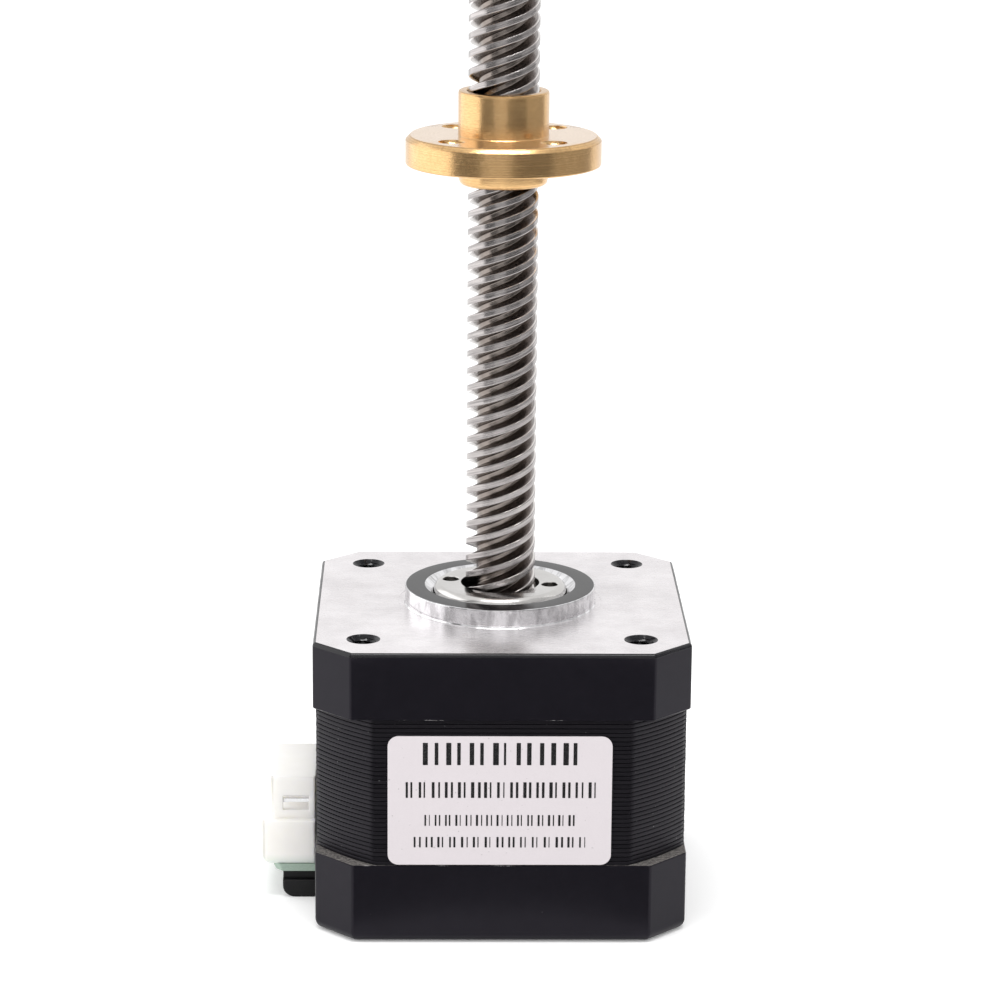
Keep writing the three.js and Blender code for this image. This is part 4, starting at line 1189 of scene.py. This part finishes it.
def flag(name, start, end, radius, bottom, top, tone):
    """A curved card that only reflections see, between two bearings from the front, positive to the right."""
    steps = 12
    points = []
    for step in range(steps + 1):
        angle = radians(start + (end - start) * step / steps)
        x, y = radius * sin(angle), -radius * cos(angle)
        points += [(x, y, bottom), (x, y, top)]
    faces = [(i, i + 2, i + 3, i + 1) for i in range(0, 2 * steps, 2)]
    obj = stage_mesh(name, points, faces, plain_material(name, tone))
    obj.visible_camera = False
    obj.visible_diffuse = False
    obj.visible_shadow = False
    obj.visible_transmission = False


def studio():
    """White world, one hard overhead box, softboxes at the sides, and flags that shape the reflections."""
    scene = bpy.context.scene
    scene.view_settings.view_transform = "Standard"
    world = bpy.data.worlds.new("studio")
    world.use_nodes = True
    world.node_tree.nodes["Background"].inputs["Color"].default_value = WHITE
    world.node_tree.nodes["Background"].inputs["Strength"].default_value = 1.0
    scene.world = world
    centre = (0.0, 0.0, 0.05)
    softbox("left_panel", (-0.3, 0.06, 0.19), (0.0, 0.06, 0.19), (0.62, 0.36), 0.8)
    softbox("right_softbox", (0.6, 0.1, 0.35), centre, (0.3, 0.5), 0.85)
    softbox("overhead_box", (0.0, -0.1, 0.62), centre, (0.34, 0.1), 13.0)
    low = (0.25, 0.0, 0.08)
    high = (0.32, 0.09, 0.6)
    flag("low_front_left", -62, -26, *low, 0.12)
    flag("low_front", -26, 8, *low, 0.45)
    flag("low_front_right", 8, 58, *low, 0.1)
    flag("low_right", 58, 122, *low, 0.32)
    flag("high_left", -76, -56, *high, 0.12)
    flag("high_front_left", -56, -14, *high, 0.5)
    flag("high_front_right", 22, 110, *high, 0.42)
    flag("floor_card", -36, 36, 0.031, 0.0, 0.032, 0.2)


# ---------- assembly ----------

def build_visible():
    facing = machined_face()
    # the turned aluminium carries upright bands of painted reflection
    bright = turned_metal("turned_aluminium", (0.88, 0.875, 0.89), (0.68, 0.675, 0.69), 0.07, 0.18,
                          painted_reflection_banding=0.55)
    cast = cast_edge()
    paint = black_paint("black_paint_front", FRONT_LOW[2])
    front = [paint, facing, bright, cast, gloss_black(), gloss_paint()]
    finish_piece(front_cap(front), "cap_paint", "front_end_cap")
    rear = [black_paint("black_paint_rear", REAR_HIGH[2]), facing, bright, cast]
    finish_piece(rear_cap(rear), "cap_paint", "rear_end_cap")
    edges = lamination_edges(STACK_LOW[2], (STACK_HIGH[2] - STACK_LOW[2]) / LAMINATIONS)
    finish_piece(stator(edges, sheet_steel("stack_inside", 0.5)), "lamination", "stator_stack")

    ring_metal = turned_metal("ring_metal", (0.66, 0.645, 0.63), (0.42, 0.41, 0.4), 0.12, 0.26)
    finish_piece(lock_ring(ring_metal), "lock_ring_steel", "lock_ring")
    zinc = plated_metal("zinc_plate", (0.42, 0.42, 0.44), (0.3, 0.3, 0.31), 0.25, 0.4)
    for number in range(1, 5):
        low, high = box_mm(f"tie_screw_{number}")
        centre = ((low[0] + high[0]) / 2, (low[1] + high[1]) / 2)
        finish_piece(tie_screw(number, centre, zinc), "screw_zinc", f"tie_screw_{number}")

    finish_piece(lead_screw(screw_steel(), bright), "lead_screw_steel", "lead_screw", body="rotor")
    walls = turned_brass("brass_walls", (0.83, 0.56, 0.28), (0.72, 0.45, 0.2), (0.42, 0.24, 0.1))
    # Paler copy of the brass for the level faces: a painted sheen standing in for the light they catch.
    faces = turned_brass("brass_faces_painted_sheen", (0.93, 0.77, 0.62), (0.86, 0.68, 0.51), (0.74, 0.55, 0.38))
    finish_piece(lead_nut([walls, faces]), "nut_brass", "lead_nut", body="nut")

    finish_piece(connector_board(board_laminate()), "board_green", "connector_board")
    finish_piece(connector_header(milky_nylon()), "header_nylon", "connector_header")
    support = connector_support(black_moulding("support_moulding"))
    finish_piece(support, "support_plastic", "connector_support")
    tin = plated_metal("tin_plate", (0.72, 0.72, 0.73), (0.55, 0.55, 0.56), 0.18, 0.3)
    for number, y in enumerate(pin_places(), start=1):
        finish_piece(connector_pin(number, y, tin), "pin_tin", f"connector_pin_{number}")

    finish_piece(label(label_paper()), "label_paper", "label")
    finish_piece(label_print(print_ink()), "label_paper")


def dress(material, *nodes):
    for node in nodes:
        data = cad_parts[node].data
        data.materials.clear()
        data.materials.append(material)


def build_inside():
    """Materials for the CAD nodes that stay: the motor's inner pieces."""
    ground = turned_metal("ground_steel", (0.6, 0.6, 0.61), (0.45, 0.45, 0.46), 0.1, 0.2, 14.0, 0.1)
    pressed = turned_metal("pressed_steel", (0.5, 0.5, 0.51), (0.36, 0.36, 0.37), 0.25, 0.4, 6.0)
    tempered = turned_metal("tempered_steel", (0.3, 0.3, 0.32), (0.2, 0.2, 0.22), 0.25, 0.4, 6.0)
    magnet = plated_metal("magnet_plate", (0.25, 0.25, 0.26), (0.14, 0.14, 0.15), 0.3, 0.45, 1.5)
    dress(black_moulding("bobbin_moulding"), "front_insulator", "rear_insulator")
    dress(winding_wire(), *[f"coil_{pole}" for pole in range(1, 9)])
    for bearing in ("front_bearing", "rear_bearing"):
        dress(ground, f"{bearing}_outer_race", f"{bearing}_inner_race")
        dress(pressed, f"{bearing}_balls_and_cage", f"{bearing}_lower_shield", f"{bearing}_upper_shield")
    dress(tempered, "wave_washer")
    dress(sheet_steel("rotor_sheets", 0.5), "front_rotor_cup", "rear_rotor_cup")
    dress(magnet, "rotor_magnet")


camera()
studio()
floor()
build_visible()
build_inside()
